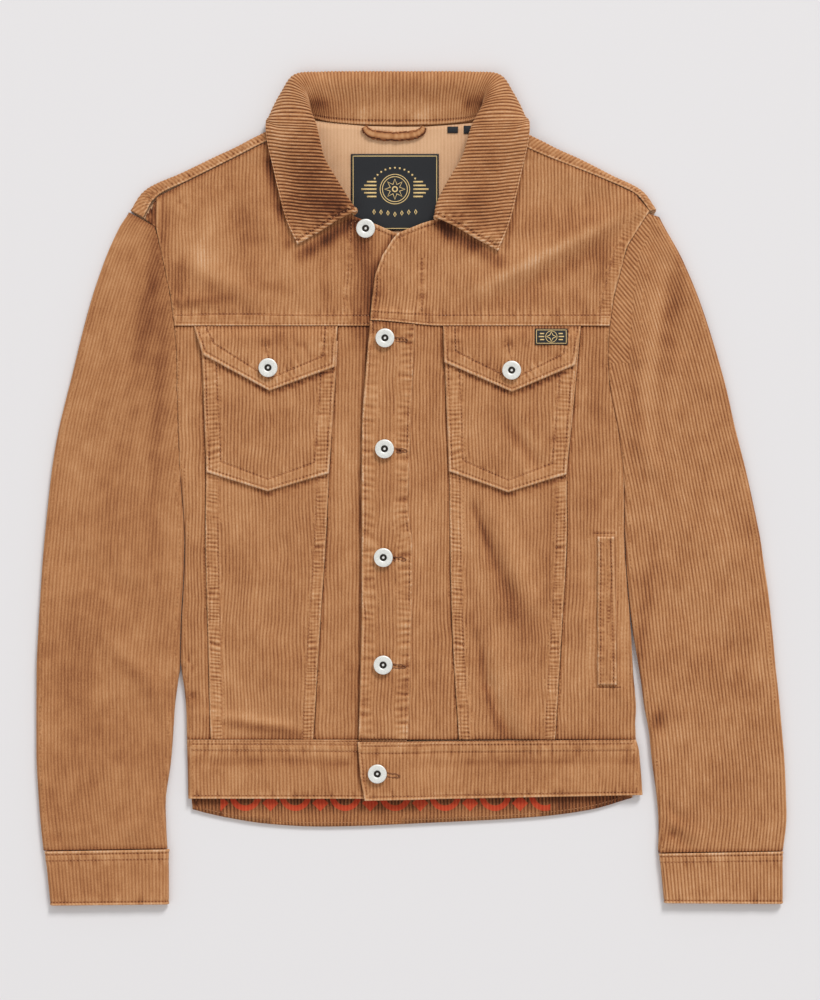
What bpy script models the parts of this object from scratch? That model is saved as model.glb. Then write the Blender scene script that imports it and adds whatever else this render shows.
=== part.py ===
"""A men's corduroy trucker jacket laid flat on its back, buttoned, with the neck button open.

+Y runs up to the collar, +X to the wearer's left sleeve and +Z away from the surface it lies on.
The origin is the middle of the outline on that surface. Tables and sizes are in millimetres.
"""

import math

import bmesh
import bpy
from mathutils import Vector

MM = 0.001

# Cloth
CLOTH = 2.0                # one ply of corduroy
BAND_WALL = 3.0            # waistband, two plies
CUFF_WALL = 2.6
COLLAR_WALL = 2.6
PATCH_WALL = 1.8           # a patch pocket, a flap, a placket or a welt
LABEL_WALL = 0.8
SEAM = 0.35                # space between two pieces at a seam
CLEAR = 0.4                # space under a piece that lies on another

# How the layers stack
TOP = 7.2                  # height of the front over the surface
FRONT_ROLL = 3.6           # outer radius where the front turns down to the side seam
BACK_ROLL = 3.25           # the same where the back turns up to it
BAND_RISE = 0.6            # the waistband stands this much over the front
LAP_RISE = 2.4             # the left front lies over the right front by this much
BAND_LAP_RISE = 3.4
LAP_END = 3.5              # the lap is level up to here, and is down again at LAP_FOOT
LAP_FOOT = 20.0
UNDERLAP_EDGE = -4.0       # where the right front ends under the left one
FALL_LIFT = 3.1            # the back yoke lies on the collar's fall
NECK_LIFT = 2.5            # and the front yokes follow it at the neck

# Heights of the level seams
HEM_SEAM = -230.6
YOKE_SEAM = 150.2
BACK_YOKE_SEAM = 160.0
WAIST_FOOT = -285.0
BACK_BAND_WIDTH = 54.0
CENTRE = -12.6             # the garment's middle line

ROLL_ANGLES = (0, 30, 60)
FOLD_ANGLES = (-90, -50, -15, 15, 50, 90)
YOKE_LEVELS = (0.0, 0.3, 0.6, 0.7, 0.77, 0.84, 0.91, 1.0)   # rows of the back yoke up to the shoulder
BACK_ARM_HEIGHTS = (176.0, 195.0, 212.0, 227.0, 240.4)       # and of its armhole over the yoke seam
UNDERARM_LOW, UNDERARM_HIGH = -8.0, 24.0   # the side roll opens into the armhole between these
FADE_NEAR, FADE_FAR = 3.0, 14.0            # folds run out between these distances from a rolled edge
NECK_RISE, NECK_SPAN = (296.0, 318.0), (130.0, 162.0)    # where the front's neck lift sets in: height, x
FALL_RISE, FALL_SPAN = (280.0, 314.0), (136.0, 168.0)    # the same for the back over the collar's fall
PANEL_ROWS, CLOSE_ROWS = 17, 22            # rows of a front panel, and of one with deep folds

# Sides of the body and armholes: height, wearer's right, wearer's left
BODY_SIDES = (
    (-290, -205.5, 213.5), (-241, -206.6, 209.6), (-226, -207.0, 206.0), (-200, -207.6, 206.8),
    (-181, -209.6, 205.2), (-164, -212.2, 204.0), (-146, -212.5, 203.0), (-131, -212.2, 202.2),
    (-115, -211.6, 201.0), (-91, -210.0, 199.0), (-65, -209.0, 197.0), (-42, -208.8, 196.2),
    (16, -213.0, 195.0), (55, -214.8, 190.0), (94, -215.8, 182.5), (130, -216.5, 181.0),
    (178, -222.0, 186.5), (223, -231.5, 198.5), (241, -235.5, 209.5),
)
# Sleeves: height, wearer's right outer and inner side, wearer's left inner and outer side
SLEEVE_SIDES = (
    (-334, -338.8, -224.6, 227.2, 342.0), (-306, -341.8, -226.0, 227.4, 345.3),
    (-284, -343.4, -226.2, 225.9, 345.0), (-251, -345.3, -221.4, 221.4, 343.6),
    (-222, -345.5, -219.2, 218.4, 341.2), (-200, -345.5, -217.8, 214.2, 339.2),
    (-181, -345.4, -215.4, 211.8, 337.2), (-164, -345.3, -212.9, 209.2, 335.4),
    (-146, -344.6, -212.9, 206.2, 333.8), (-131, -343.8, -212.6, 203.6, 332.4),
    (-115, -342.9, -212.0, 201.6, 330.8), (-91, -341.4, -210.4, 199.4, 328.0),
    (-65, -339.6, -209.6, 197.6, 324.0), (-42, -337.6, -209.8, 197.8, 320.6),
    (14, -331.7, -214.0, 196.0, 308.7), (55, -324.8, -215.8, 191.0, 298.4),
    (102, -313.3, -216.9, 182.9, 287.5), (168, -296.7, -221.6, 186.5, 267.3),
    (212, -282.0, -230.2, 196.2, 249.2), (241, -269.0, -236.5, 210.5, 233.2),
    (254, -260.4, -241.0, 218.4, 226.4),
)
SLEEVE_FEET = {"right": (-332.9, -331.0), "left": (-333.2, -334.9)}    # outer height, inner height
SLEEVE_HEADS = {"right": (253.4, 239.8), "left": (248.0, 251.4)}
# Seams of the front under the yokes: height, right outer, right inner, front edge, left inner, left outer
FRONT_SEAMS = (
    (-231, -184.9, -90.3, -48.8, 43.6, 132.2),
    (-135, -187.4, -84.6, -46.2, 37.7, 138.0),
    (-47, -189.6, -78.8, -45.8, 35.4, 142.9),
    (14, -189.1, -75.9, -46.0, 34.6, 143.1),
    (69, -190.6, -72.6, -45.1, 32.3, 148.4),
    (151, -194.0, -68.0, -38.2, 29.0, 156.0),
)
# Free edge of the placket's stitched side: height, x
PLACKET_SIDE = ((-231, -3.0), (-150, -0.5), (-47, 0.3), (-19, -3.2), (69, -0.3), (151, 3.2))
# Hem of the back: x, height
BACK_HEM = (
    (-206, -293.0), (-200, -295.6), (-185, -299.4), (-165, -303.6), (-134, -308.3), (-81, -311.0),
    (17, -307.5), (115, -302.0), (167, -295.0), (202, -284.8), (214, -281.8),
)
# The back waistband's flat part: x at the foot and x at the head, on the right and on the left
BACK_BAND_ENDS = ((-198.4, -203.6), (200.4, 202.8))
BAND_EDGE = ((-43.0, -286.6), (-49.4, -232.6))    # the left front band's free edge: foot, head
LEFT_BAND_SHORT = 3.4                             # its foot at the side seam is this much higher
# Seams of the back, wearer's right and left: x at the foot, x at the head
BACK_SEAMS = ((-110.0, -150.0), (92.0, 124.0))
# Front yokes, a row for each section from armhole to front edge: foot x, head x, head height
RIGHT_YOKE = (
    (-219.0, -246.6, 249.3), (-206.0, -233.5, 269.2), (-186.0, -205.0, 283.6), (-164.0, -176.0, 298.0),
    (-142.0, -148.0, 312.0), (-124.0, -122.0, 325.0), (-110.0, -100.0, 336.0), (-98.0, -96.4, 329.0),
    (-84.0, -88.6, 303.0), (-66.0, -70.4, 270.0), (-50.0, -51.6, 250.4), (-30.0, -31.0, 243.0),
    (-14.0, -13.5, 235.0), (UNDERLAP_EDGE, UNDERLAP_EDGE, 231.5),
)
LEFT_YOKE = (
    (-38.2, -12.6, 235.2), (-22.0, -4.0, 239.0), (-6.0, 9.0, 244.2), (12.0, 26.2, 249.6), (30.0, 45.6, 270.0),
    (46.0, 63.4, 303.0), (60.0, 71.2, 322.0), (74.0, 74.6, 329.5), (94.0, 96.0, 318.0), (114.0, 122.0, 306.6),
    (134.0, 150.0, 295.6), (154.0, 178.0, 284.4), (170.0, 205.0, 271.6), (183.6, 218.8, 255.4),
)
# Front edge of the left yoke: x, height
LAPEL_EDGE = ((-38.2, 150.6), (-36.4, 174.6), (-33.8, 195.8), (-26.8, 215.1), (-17.9, 229.3), (-12.6, 235.2))
# Back yoke over the shoulders: foot x, fold x and height, front seam x and height
RIGHT_SHOULDER = (
    (-219.6, -259.6, 255.6, -246.9, 250.0), (-206.0, -245.2, 275.1, -233.8, 269.9),
    (-186.0, -212.0, 291.1, -205.2, 284.2), (-164.0, -181.0, 306.3, -176.2, 298.6),
    (-142.0, -151.0, 321.1, -148.2, 312.6), (-122.0, -123.0, 334.8, -122.0, 325.5),
    (-103.0, -100.4, 346.6, -99.6, 336.6),
)
BACK_NECK = (   # foot x, neck x, neck height
    (-92.0, -92.6, 339.6), (-72.0, -72.0, 337.0), (-44.0, -44.0, 334.2), (-12.6, -12.6, 333.4),
    (14.0, 14.0, 333.6), (42.0, 42.0, 335.6), (64.0, 64.6, 337.8),
)
LEFT_SHOULDER = (
    (76.0, 75.4, 342.4, 74.4, 330.1), (96.0, 98.0, 331.4, 96.0, 318.6), (116.0, 124.0, 319.0, 122.0, 307.2),
    (136.0, 152.0, 305.7, 150.0, 296.2), (156.0, 180.0, 291.6, 178.0, 285.0), (171.0, 211.5, 274.9, 205.2, 272.2),
    (184.0, 227.2, 252.4, 219.3, 256.2),
)
RIGHT_ARM_END = (-246.6, 250.2)
LEFT_ARM_END = (217.2, 252.8)
# Folds of the laid cloth: from x, y to x, y, width, height over the level cloth
FOLDS = (
    (58, -137, 87, -231, 8.0, -1.9),     # drag in the left front above the waistband
    (72, -150, 98, -228, 8.0, 1.3),
    (70, -47, 100, -117, 9.0, -1.1),
    (59, -19, 74, -61, 6.0, -0.8),
    (205, 259, 63, 187, 11.0, 1.9),      # ridge across the left yoke
    (104, 264, 176, 266, 15.0, -1.5),
    (96, 178, 150, 196, 18.0, -0.8),
    (-216, 173, -184, 172, 5.0, 1.4),    # at the right end of the yoke seam
    (-199, 206, -168, 178, 10.0, 1.2),
    (-158, 196, -140, 182, 16.0, -1.0),
    (-170, -211, -116, -219, 5.0, 1.2),  # over the waistband seam, right front
    (-150, -120, -110, -190, 14.0, 0.8),
    (-294, -119, -226, -196, 13.0, 1.2),  # right elbow
    (-318, -60, -262, -92, 14.0, -1.0),
    (-300, 60, -262, 96, 18.0, 0.9),
    (-232, -285, -256, -313, 7.0, 1.6),
    (-334, -320, -322, -322, 8.0, -1.2),
    (234, -293, 248, -304, 5.0, -1.6),   # left sleeve above the cuff
    (238, -316, 254, -328, 5.0, -1.6),
    (236, -304, 262, -318, 6.0, 1.2),
    (222, -200, 230, -224, 7.0, -1.3),
    (196, 66, 228, 34, 7.0, 1.4),        # from the left underarm
    (190, 96, 230, 84, 8.0, 1.1),
    (196, 82, 230, 58, 6.0, -1.0),
    (214, 214, 232, 150, 9.0, -1.2),
    (236, 206, 250, 150, 10.0, 1.1),
    (262, -40, 306, -70, 14.0, 1.0),
    (250, -110, 300, -150, 13.0, -1.0),
)
# Patch pockets and flaps: foot left x, height; point x, height; foot right x, height; head left x, right x
RIGHT_POCKET = (-188.6, 15.4, -132.2, -2.2, -75.9, 14.5, -193.4, -67.6)
LEFT_POCKET = (34.3, 16.3, 88.9, -3.1, 142.6, 13.6, 29.9, 152.6)
RIGHT_FLAP = (-192.1, 123.6, -130.5, 90.2, -70.7, 112.2, -200.1, -68.0)
LEFT_FLAP = (29.9, 116.6, 92.4, 89.3, 150.4, 114.0, 29.0, 155.8)
POCKET_HEAD = 136.0
FLAP_HEAD = 149.7
WELT = (-180.0, -43.8, 171.0, 186.4)      # foot, head, inner x, outer x
WELT_LEAN = 2.4

# Collar, a section for each station from the middle of the back round to the leaf's front edge.
# Each point is distance from the middle line, height on the garment and height over the surface.
# The last column moves the roll inwards on the wearer's left, by a share for each point.
COLLAR = (
    # neck seam, stand, roll, fall's head, fall's bend, fall's middle, edge, lean
    ((0, 335.4, 4.6), (0, 356, 7.6), (0, 374, 11.2), (0, 382.6, 8.0), (0, 379, 2.6), (0, 352, 1.4), (0, 318, 1.4), 0),
    ((34, 335.8, 4.6), (34, 356, 7.8), (35, 373.5, 11.4), (35, 382.6, 8.0), (35, 379, 2.6), (35, 352, 1.4),
     (35, 318, 1.4), 0),
    ((62, 338.2, 4.8), (64, 357, 8.6), (68, 373, 12.0), (70, 382.2, 8.4), (70, 378.6, 2.8), (68, 352, 1.4),
     (66, 318, 1.4), 1.0),
    ((76, 341.2, 5.2), (80, 357, 10.0), (86, 371, 14.0), (93, 379.6, 11.0), (95, 376.4, 4.0), (92, 352, 1.4),
     (88, 318.6, 1.4), 2.5),
    ((80.6, 341, 6.0), (82, 352, 12.5), (86.5, 360.5, 17.0), (100, 365.5, 13.0), (106.8, 363, 5.6), (103, 346, 1.4),
     (100, 320, 1.4), 3.4),
    ((81, 336, 7.2), (81, 343, 13.4), (83, 349, 18.2), (101, 351.5, 15.8), (114.4, 349, 7.4), (113.5, 340, 1.4),
     (111, 330, 1.4), 4.6),
    ((80, 329, 9.0), (78, 333, 14.0), (78, 337, 18.8), (98, 338.4, 17.4), (114.5, 339, 13.0),
     (121.2, 339.4, 7.0), (120.8, 337.4, 3.4), 6.2),
    ((78.6, 322, 9.6), (75.6, 325, 14.2), (75.4, 328, 18.8), (93, 329, 18.2), (108, 330, 15.6),
     (117, 331.6, 13.8), (122.2, 333.2, 11.6), 7.0),
    ((76.6, 314, 9.8), (73.4, 316, 14.4), (73.2, 318, 18.6), (90, 318, 18.2), (104, 317.4, 15.8),
     (113, 317, 14.0), (119.4, 316.6, 12.6), 7.6),
    ((72.6, 300, 9.4), (68.8, 301, 13.6), (68.8, 302, 17.6), (84, 301, 17.0), (98, 300, 13.6),
     (108, 299, 11.4), (115.2, 298, 10.2), 8.6),
    ((62.6, 281, 8.8), (58.6, 283, 12.6), (58.8, 285, 16.0), (75, 281, 15.2), (91, 277, 12.0),
     (101, 274.6, 10.6), (109.6, 273, 9.8), 9.4),
    ((49.6, 262.4, 8.8), (46.6, 264, 11.8), (47.2, 266, 14.6), (64, 259, 13.4), (82, 253, 11.0),
     (94, 249.6, 10.2), (102.6, 247.4, 9.8), 8.4),
    ((38.4, 252, 8.8), (37.2, 253, 11.0), (38.6, 254.2, 13.2), (55, 246.4, 11.6), (70, 236.8, 10.2),
     (82, 230, 9.6), (92.2, 224.4, 9.4), 3.0),
)
LEAN_SHARES = (1.0, 1.0, 1.0, 0.7, 0.3, 0.1, 0.0)
LEAF_DROP = (0.0,) * 10 + (0.6, 2.6, 5.8)     # how much lower the left leaf hangs, for each section
COLLAR_STEPS = 12
COLLAR_STATIONS = 12

# Cuffs: outer foot x, height; outer head; inner head; inner foot
RIGHT_CUFF = ((-332.7, -383.4), (-337.6, -333.6), (-223.4, -331.6), (-223.4, -382.3))
LEFT_CUFF = ((342.0, -381.8), (342.0, -333.6), (228.2, -335.6), (232.6, -381.2))
CUFF_ROLL = 3.9

# Buttons: x, height on the garment
FRONT_BUTTONS = ((-42.2, 239.5), (-24.4, 138.6), (-24.8, 36.8), (-25.9, -63.0), (-26.1, -161.6), (-31.4, -261.6))
FLAP_BUTTONS = {"right": (-131.7, 111.3), "left": (91.9, 109.0)}
# Profile of a ring-top shank button, from the shank's foot to the hollow: radius, height
BUTTON_PROFILE = (
    (0.0, 0.0), (2.4, 0.0), (2.4, 1.0), (7.6, 1.3), (8.65, 2.2), (8.3, 3.2), (6.4, 3.9), (4.2, 3.4),
    (3.1, 2.6), (2.9, 1.8), (0.0, 1.7),
)
BUTTON_SIDES = 14

LOOP = ((-43.0, 332.0), (-38.5, 327.6), (-28.0, 325.0), (-16.0, 324.2), (-4.0, 325.0), (6.5, 327.8), (11.0, 332.0))
LOOP_WIDTH = 8.0
LOOP_HEAD = 332.8                             # the loop ends under the neck seam here
NECK_LABEL = (-55.8, 25.2, 238.0, 308.4)     # left, right, foot, head
SIZE_TABS = ((33.1, 42.8, 327.6, 332.6), (48.1, 61.0, 327.0, 332.8))
FLAP_LABEL = (113.5, 143.4, 132.5, 147.4)

# Finishes: colour, roughness, metallic
FINISHES = {
    "corduroy": ((0.50, 0.27, 0.12), 0.95, 0.0),
    "corduroy_back": ((0.55, 0.32, 0.17), 0.95, 0.0),
    "button_metal": ((0.62, 0.62, 0.60), 0.35, 1.0),
    "label": ((0.02, 0.02, 0.025), 0.85, 0.0),
}


def clear_scene():
    for thing in list(bpy.data.objects):
        bpy.data.objects.remove(thing, do_unlink=True)


def make_finishes():
    made = {}
    for name, (colour, rough, metal) in FINISHES.items():
        finish = bpy.data.materials.new(name)
        finish.use_nodes = True
        shader = finish.node_tree.nodes["Principled BSDF"]
        shader.inputs["Base Color"].default_value = (*colour, 1.0)
        shader.inputs["Roughness"].default_value = rough
        shader.inputs["Metallic"].default_value = metal
        finish.diffuse_color = (*colour, 1.0)
        made[name] = finish
    return made


def smooth(value, low, high):
    """0 at low, 1 at high, with level ends."""
    share = min(max((value - low) / (high - low), 0.0), 1.0)
    return share * share * (3.0 - 2.0 * share)


def mix(a, b, share):
    return tuple(p + (q - p) * share for p, q in zip(a, b))


def read(table, key, column=1):
    """A table's column at a key, read along a smooth curve through its rows."""
    rows = table if table[0][0] < table[-1][0] else tuple(reversed(table))
    if key <= rows[0][0]:
        return rows[0][column]
    if key >= rows[-1][0]:
        return rows[-1][column]
    last = max(i for i, row in enumerate(rows) if row[0] <= key)
    keys = [rows[min(max(last + i, 0), len(rows) - 1)][0] for i in (-1, 0, 1, 2)]
    values = [rows[min(max(last + i, 0), len(rows) - 1)][column] for i in (-1, 0, 1, 2)]
    span = keys[2] - keys[1]
    share = (key - keys[1]) / span
    slope_a = (values[2] - values[0]) / (keys[2] - keys[0])
    slope_b = (values[3] - values[1]) / (keys[3] - keys[1])
    square, cube = share * share, share ** 3
    return (
        values[1] * (2 * cube - 3 * square + 1)
        + slope_a * span * (cube - 2 * square + share)
        + values[2] * (3 * square - 2 * cube)
        + slope_b * span * (cube - square)
    )


def along(points, share):
    """The point at a share of a polyline's length."""
    lengths = [math.dist(a, b) for a, b in zip(points, points[1:])]
    left = share * sum(lengths)
    for a, b, length in zip(points, points[1:], lengths):
        if left <= length:
            return mix(a, b, left / length)
        left -= length
    return points[-1]


def spread(low, high, count):
    return [low + (high - low) * i / (count - 1) for i in range(count)]


def fold_height(x, y):
    """What the folds add to the level cloth."""
    total = 0.0
    for from_x, from_y, to_x, to_y, width, height in FOLDS:
        run = (to_x - from_x, to_y - from_y)
        share = ((x - from_x) * run[0] + (y - from_y) * run[1]) / (run[0] ** 2 + run[1] ** 2)
        share = min(max(share, 0.0), 1.0)
        away = math.hypot(x - from_x - share * run[0], y - from_y - share * run[1])
        total += height * math.exp(-((away / width) ** 2))
    return total


def rolled(y):
    """1 where the side is a rolled edge, 0 in the armhole, where body and sleeve are sewn."""
    return 1.0 - smooth(y, UNDERARM_LOW, UNDERARM_HIGH)


def edge_fade(x, y):
    """0 at a rolled edge, 1 away from it, so that the folds run out before it."""
    edges = [read(SLEEVE_SIDES, y, 1), read(SLEEVE_SIDES, y, 4)]
    fade = min(smooth(abs(x - edge), FADE_NEAR, FADE_FAR) for edge in edges)
    if y < UNDERARM_HIGH:
        inner = [read(SLEEVE_SIDES, y, 2), read(SLEEVE_SIDES, y, 3), read(BODY_SIDES, y, 1), read(BODY_SIDES, y, 2)]
        near = min(smooth(abs(x - edge), FADE_NEAR, FADE_FAR) for edge in inner)
        fade = min(fade, 1.0 - rolled(y) * (1.0 - near))
    return fade


def front_top(x, y):
    """Outer height of the front and of the upper sleeves."""
    neck = NECK_LIFT * smooth(y, *NECK_RISE) * (1.0 - smooth(abs(x - CENTRE), *NECK_SPAN))
    return TOP + fold_height(x, y) * edge_fade(x, y) + neck


def back_foot(x, y):
    """Outer height of the back, which lies on the surface and, at the neck, on the collar's fall."""
    return FALL_LIFT * smooth(y, *FALL_RISE) * (1.0 - smooth(abs(x - CENTRE), *FALL_SPAN))


def lap(x):
    return 1.0 - smooth(x, LAP_END, LAP_FOOT)


def lapped_top(x, y):
    """Outer height of the left front, which lies over the right one."""
    return front_top(x, y) + LAP_RISE * lap(x)


def band_top(x, y):
    return front_top(x, y) + BAND_RISE


def lapped_band_top(x, y):
    return band_top(x, y) + BAND_LAP_RISE * lap(x)


def skin(name, outer, inner, finish, ring=False, cells=None):
    """One closed wall between a grid of outer points and the matching grid of inner points."""
    rows, columns = len(outer), len(outer[0])
    if cells is None:
        cells = [(r, c) for r in range(rows - 1) for c in range(columns if ring else columns - 1)]
    mesh = bmesh.new()
    points = {}

    def corner(grid, place):
        if (grid is outer, place) not in points:
            points[grid is outer, place] = mesh.verts.new(Vector(grid[place[0]][place[1]]) * MM)
        return points[grid is outer, place]

    borders = {}
    for r, c in cells:
        after = (c + 1) % columns
        loop = ((r, c), (r, after), (r + 1, after), (r + 1, c))
        mesh.faces.new([corner(outer, place) for place in loop])
        mesh.faces.new([corner(inner, place) for place in reversed(loop)])
        for a, b in zip(loop, loop[1:] + loop[:1]):
            if (b, a) in borders:
                del borders[b, a]
            else:
                borders[a, b] = True
    for a, b in borders:
        mesh.faces.new((corner(outer, b), corner(outer, a), corner(inner, a), corner(inner, b)))
    return finish_mesh(name, mesh, finish)


def finish_mesh(name, mesh, finish):
    bmesh.ops.recalc_face_normals(mesh, faces=mesh.faces)
    data = bpy.data.meshes.new(name)
    mesh.to_mesh(data)
    mesh.free()
    data.materials.append(finish)
    data.shade_smooth()
    data.set_sharp_from_angle(angle=math.radians(40))
    made = bpy.data.objects.new(name, data)
    bpy.context.collection.objects.link(made)
    return made


def rolled_end(start, inward, amount, height, side, wall, radius):
    """Outer and inner points of a row's end, which turns down to the side seam by the given amount."""
    outer, inner = [], []
    for angle in ROLL_ANGLES:
        across, up = math.cos(math.radians(angle)), math.sin(math.radians(angle))
        x = start[0] + inward[0] * radius * (1.0 - across)
        y = start[1] + inward[1] * radius * (1.0 - across)
        z = height(x, y) - side * amount * radius * (1.0 - up)
        lean, drop = amount * across, 1.0 - amount * (1.0 - up)
        size = wall / math.hypot(lean, drop)
        outer.append((x, y, z))
        inner.append((x + inward[0] * lean * size, y + inward[1] * lean * size, z - side * drop * size))
    return outer, inner


def cloth_row(start, end, steps, height, side, wall, radius, roll_start=None, roll_end=None):
    """A row of cloth between two places on the plan; side is 1 for the front and -1 for the back."""
    length = math.dist(start, end)
    inward = ((end[0] - start[0]) / length, (end[1] - start[1]) / length)
    outer, inner = [], []
    low, high = 0.0, length
    if roll_start is not None:
        outer, inner = rolled_end(start, inward, roll_start, height, side, wall, radius)
        low = radius
    if roll_end is not None:
        high = length - radius
    for reach in spread(low, high, steps):
        x, y = start[0] + inward[0] * reach, start[1] + inward[1] * reach
        z = height(x, y)
        outer.append((x, y, z))
        inner.append((x, y, z - side * wall))
    if roll_end is not None:
        back = (-inward[0], -inward[1])
        more_outer, more_inner = rolled_end(end, back, roll_end, height, side, wall, radius)
        outer += reversed(more_outer)
        inner += reversed(more_inner)
    return outer, inner


def panel(name, finish, ends, steps, height, side=1, wall=CLOTH, radius=FRONT_ROLL, rolls=(None, None)):
    """A piece of cloth whose rows run between pairs of ends; rolls are functions of height, or None."""
    outer, inner = [], []
    for start, end in ends:
        amounts = [roll(point[1]) if roll else None for roll, point in zip(rolls, (start, end))]
        row = cloth_row(start, end, steps, height, side, wall, radius, *amounts)
        outer.append(row[0])
        inner.append(row[1])
    return skin(name, outer, inner, finish)


def full(_):
    return 1.0


def body_side(y, which):
    return read(BODY_SIDES, y, which)


def front_line(y, line):
    """x of a panel's side at a height: a table and its column, or one x for all heights."""
    table, column = line
    return read(table, y, column) if table else column


def front_panels(finish):
    """The six pieces under the yokes, between the seams that run down to the waistband."""
    half = SEAM / 2
    pieces = (
        # name, left side, right side, rows, steps, height over the surface, rolls
        ("front_side_right", (BODY_SIDES, 1), (FRONT_SEAMS, 1), PANEL_ROWS, 3, front_top, (rolled, None)),
        ("front_mid_right", (FRONT_SEAMS, 1), (FRONT_SEAMS, 2), PANEL_ROWS, 7, front_top, (None, None)),
        ("front_centre_right", (FRONT_SEAMS, 2), (None, UNDERLAP_EDGE), PANEL_ROWS, 4, front_top, (None, None)),
        ("front_centre_left", (FRONT_SEAMS, 3), (FRONT_SEAMS, 4), PANEL_ROWS, 9, lapped_top, (None, None)),
        ("front_mid_left", (FRONT_SEAMS, 4), (FRONT_SEAMS, 5), CLOSE_ROWS, 11, front_top, (None, None)),
        ("front_side_left", (FRONT_SEAMS, 5), (BODY_SIDES, 2), PANEL_ROWS, 5, front_top, (None, rolled)),
    )
    for name, left, right, rows, steps, height, rolls in pieces:
        levels = spread(HEM_SEAM + half, YOKE_SEAM - half, rows)
        ends = [((front_line(y, left) + half, y), (front_line(y, right) - half, y)) for y in levels]
        panel(name, finish, ends, steps, height, rolls=rolls)


def ruled(feet, heads, rows, left=None, right=None):
    """Plan points between a foot line and a head line, with the side columns led along given lines."""
    reach = [foot[0] - feet[0][0] for foot in feet]
    grid = []
    for share in spread(0.0, 1.0, rows):
        row = [mix(foot, head, share) for foot, head in zip(feet, heads)]
        for line, end, at in ((left, 0, 1.0), (right, -1, 0.0)):
            if not line:
                continue
            aim = along(line, share)
            shift = (aim[0] - row[end][0], aim[1] - row[end][1])
            for i, point in enumerate(row):
                weight = abs(at - reach[i] / reach[-1]) ** 2
                row[i] = (point[0] + weight * shift[0], point[1] + weight * shift[1])
        grid.append(row)
    return grid


def laid(name, grid, finish, height, wall, side=1):
    """A wall whose outer points lie at a height over the plan points of a grid."""
    outer = [[(x, y, height(x, y)) for x, y in row] for row in grid]
    inner = [[(x, y, height(x, y) - side * wall) for x, y in row] for row in grid]
    return skin(name, outer, inner, finish)


def armhole(which, low, gap):
    """The armhole's line from a height up to the shoulder, on the body's side of the seam."""
    sign = -1 if which == 1 else 1
    heights = [low] + [row[0] for row in BODY_SIDES if row[0] > low + 5]
    return [(read(BODY_SIDES, y, which) - sign * gap, y) for y in heights]


def front_yokes(finish):
    foot = YOKE_SEAM + SEAM / 2
    right_arm = armhole(1, foot, SEAM) + [(RIGHT_YOKE[0][1], RIGHT_YOKE[0][2])]
    feet = [(row[0], foot) for row in RIGHT_YOKE]
    feet[0] = right_arm[0]
    grid = ruled(feet, [row[1:] for row in RIGHT_YOKE], rows=10, left=right_arm)
    laid("front_yoke_right", grid, finish, front_top, CLOTH)

    left_arm = armhole(2, foot, SEAM) + [(LEFT_YOKE[-1][1], LEFT_YOKE[-1][2])]
    feet = [(row[0], foot) for row in LEFT_YOKE]
    feet[-1] = left_arm[0]
    grid = ruled(feet, [row[1:] for row in LEFT_YOKE], rows=13, left=LAPEL_EDGE, right=left_arm)
    laid("front_yoke_left", grid, finish, lapped_top, CLOTH)


def shoulder_column(row, foot, arm=None):
    """A column of the back yoke: along the surface, round the shoulder and down to the front seam."""
    foot_x, fold_x, fold_y, seam_x, seam_y = row
    length = math.dist((fold_x, fold_y), (seam_x, seam_y))
    out = ((fold_x - seam_x) / length, (fold_y - seam_y) / length)
    low, high = back_foot(fold_x, fold_y), front_top(seam_x, seam_y)
    radius = (high - low) / 2
    centre = (fold_x - out[0] * radius, fold_y - out[1] * radius)
    flat = arm or [mix((foot_x, foot), centre, share) for share in YOKE_LEVELS[:-1]]
    outer, inner = [], []
    for x, y in flat:
        z = back_foot(x, y)
        outer.append((x, y, z))
        inner.append((x, y, z + CLOTH))
    for angle in FOLD_ANGLES:
        across, up = math.cos(math.radians(angle)), math.sin(math.radians(angle))
        for points, size in ((outer, radius), (inner, radius - CLOTH)):
            points.append(
                (centre[0] + out[0] * size * across, centre[1] + out[1] * size * across, low + radius + size * up)
            )
    outer.append((seam_x, seam_y, high))
    inner.append((seam_x, seam_y, high - CLOTH))
    return outer, inner


def shoulder_end(which, foot, end):
    """The back yoke's armhole: a point for each row, up to where the sleeve's head turns away."""
    sign = -1 if which == 1 else 1
    heights = (foot, *BACK_ARM_HEIGHTS)
    return [(read(BODY_SIDES, y, which) - sign * SEAM, y) for y in heights] + [end]


def back_yoke(finish):
    """One piece across the back and over both shoulders to the seams on the front."""
    foot = BACK_YOKE_SEAM + SEAM / 2
    count = len(YOKE_LEVELS) + len(FOLD_ANGLES)
    columns, reach = [], []
    for row in RIGHT_SHOULDER:
        arm = shoulder_end(1, foot, RIGHT_ARM_END) if row is RIGHT_SHOULDER[0] else None
        columns.append(shoulder_column(row, foot, arm))
        reach.append(count)
    for foot_x, neck_x, neck_y in BACK_NECK:
        path = [mix((foot_x, foot), (neck_x, neck_y), share) for share in YOKE_LEVELS]
        outer = [(x, y, back_foot(x, y)) for x, y in path]
        inner = [(x, y, z + CLOTH) for x, y, z in outer]
        columns.append((outer, inner))
        reach.append(len(YOKE_LEVELS))
    for row in LEFT_SHOULDER:
        arm = shoulder_end(2, foot, LEFT_ARM_END) if row is LEFT_SHOULDER[-1] else None
        columns.append(shoulder_column(row, foot, arm))
        reach.append(count)
    blank = [(0.0, 0.0, 0.0)] * count
    outer = [column[0] + blank[len(column[0]):] for column in columns]
    inner = [column[1] + blank[len(column[1]):] for column in columns]
    cells = [
        (i, r) for i in range(len(columns) - 1) for r in range(min(reach[i], reach[i + 1]) - 1)
    ]
    skin("back_yoke", outer, inner, finish, cells=cells)


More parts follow.
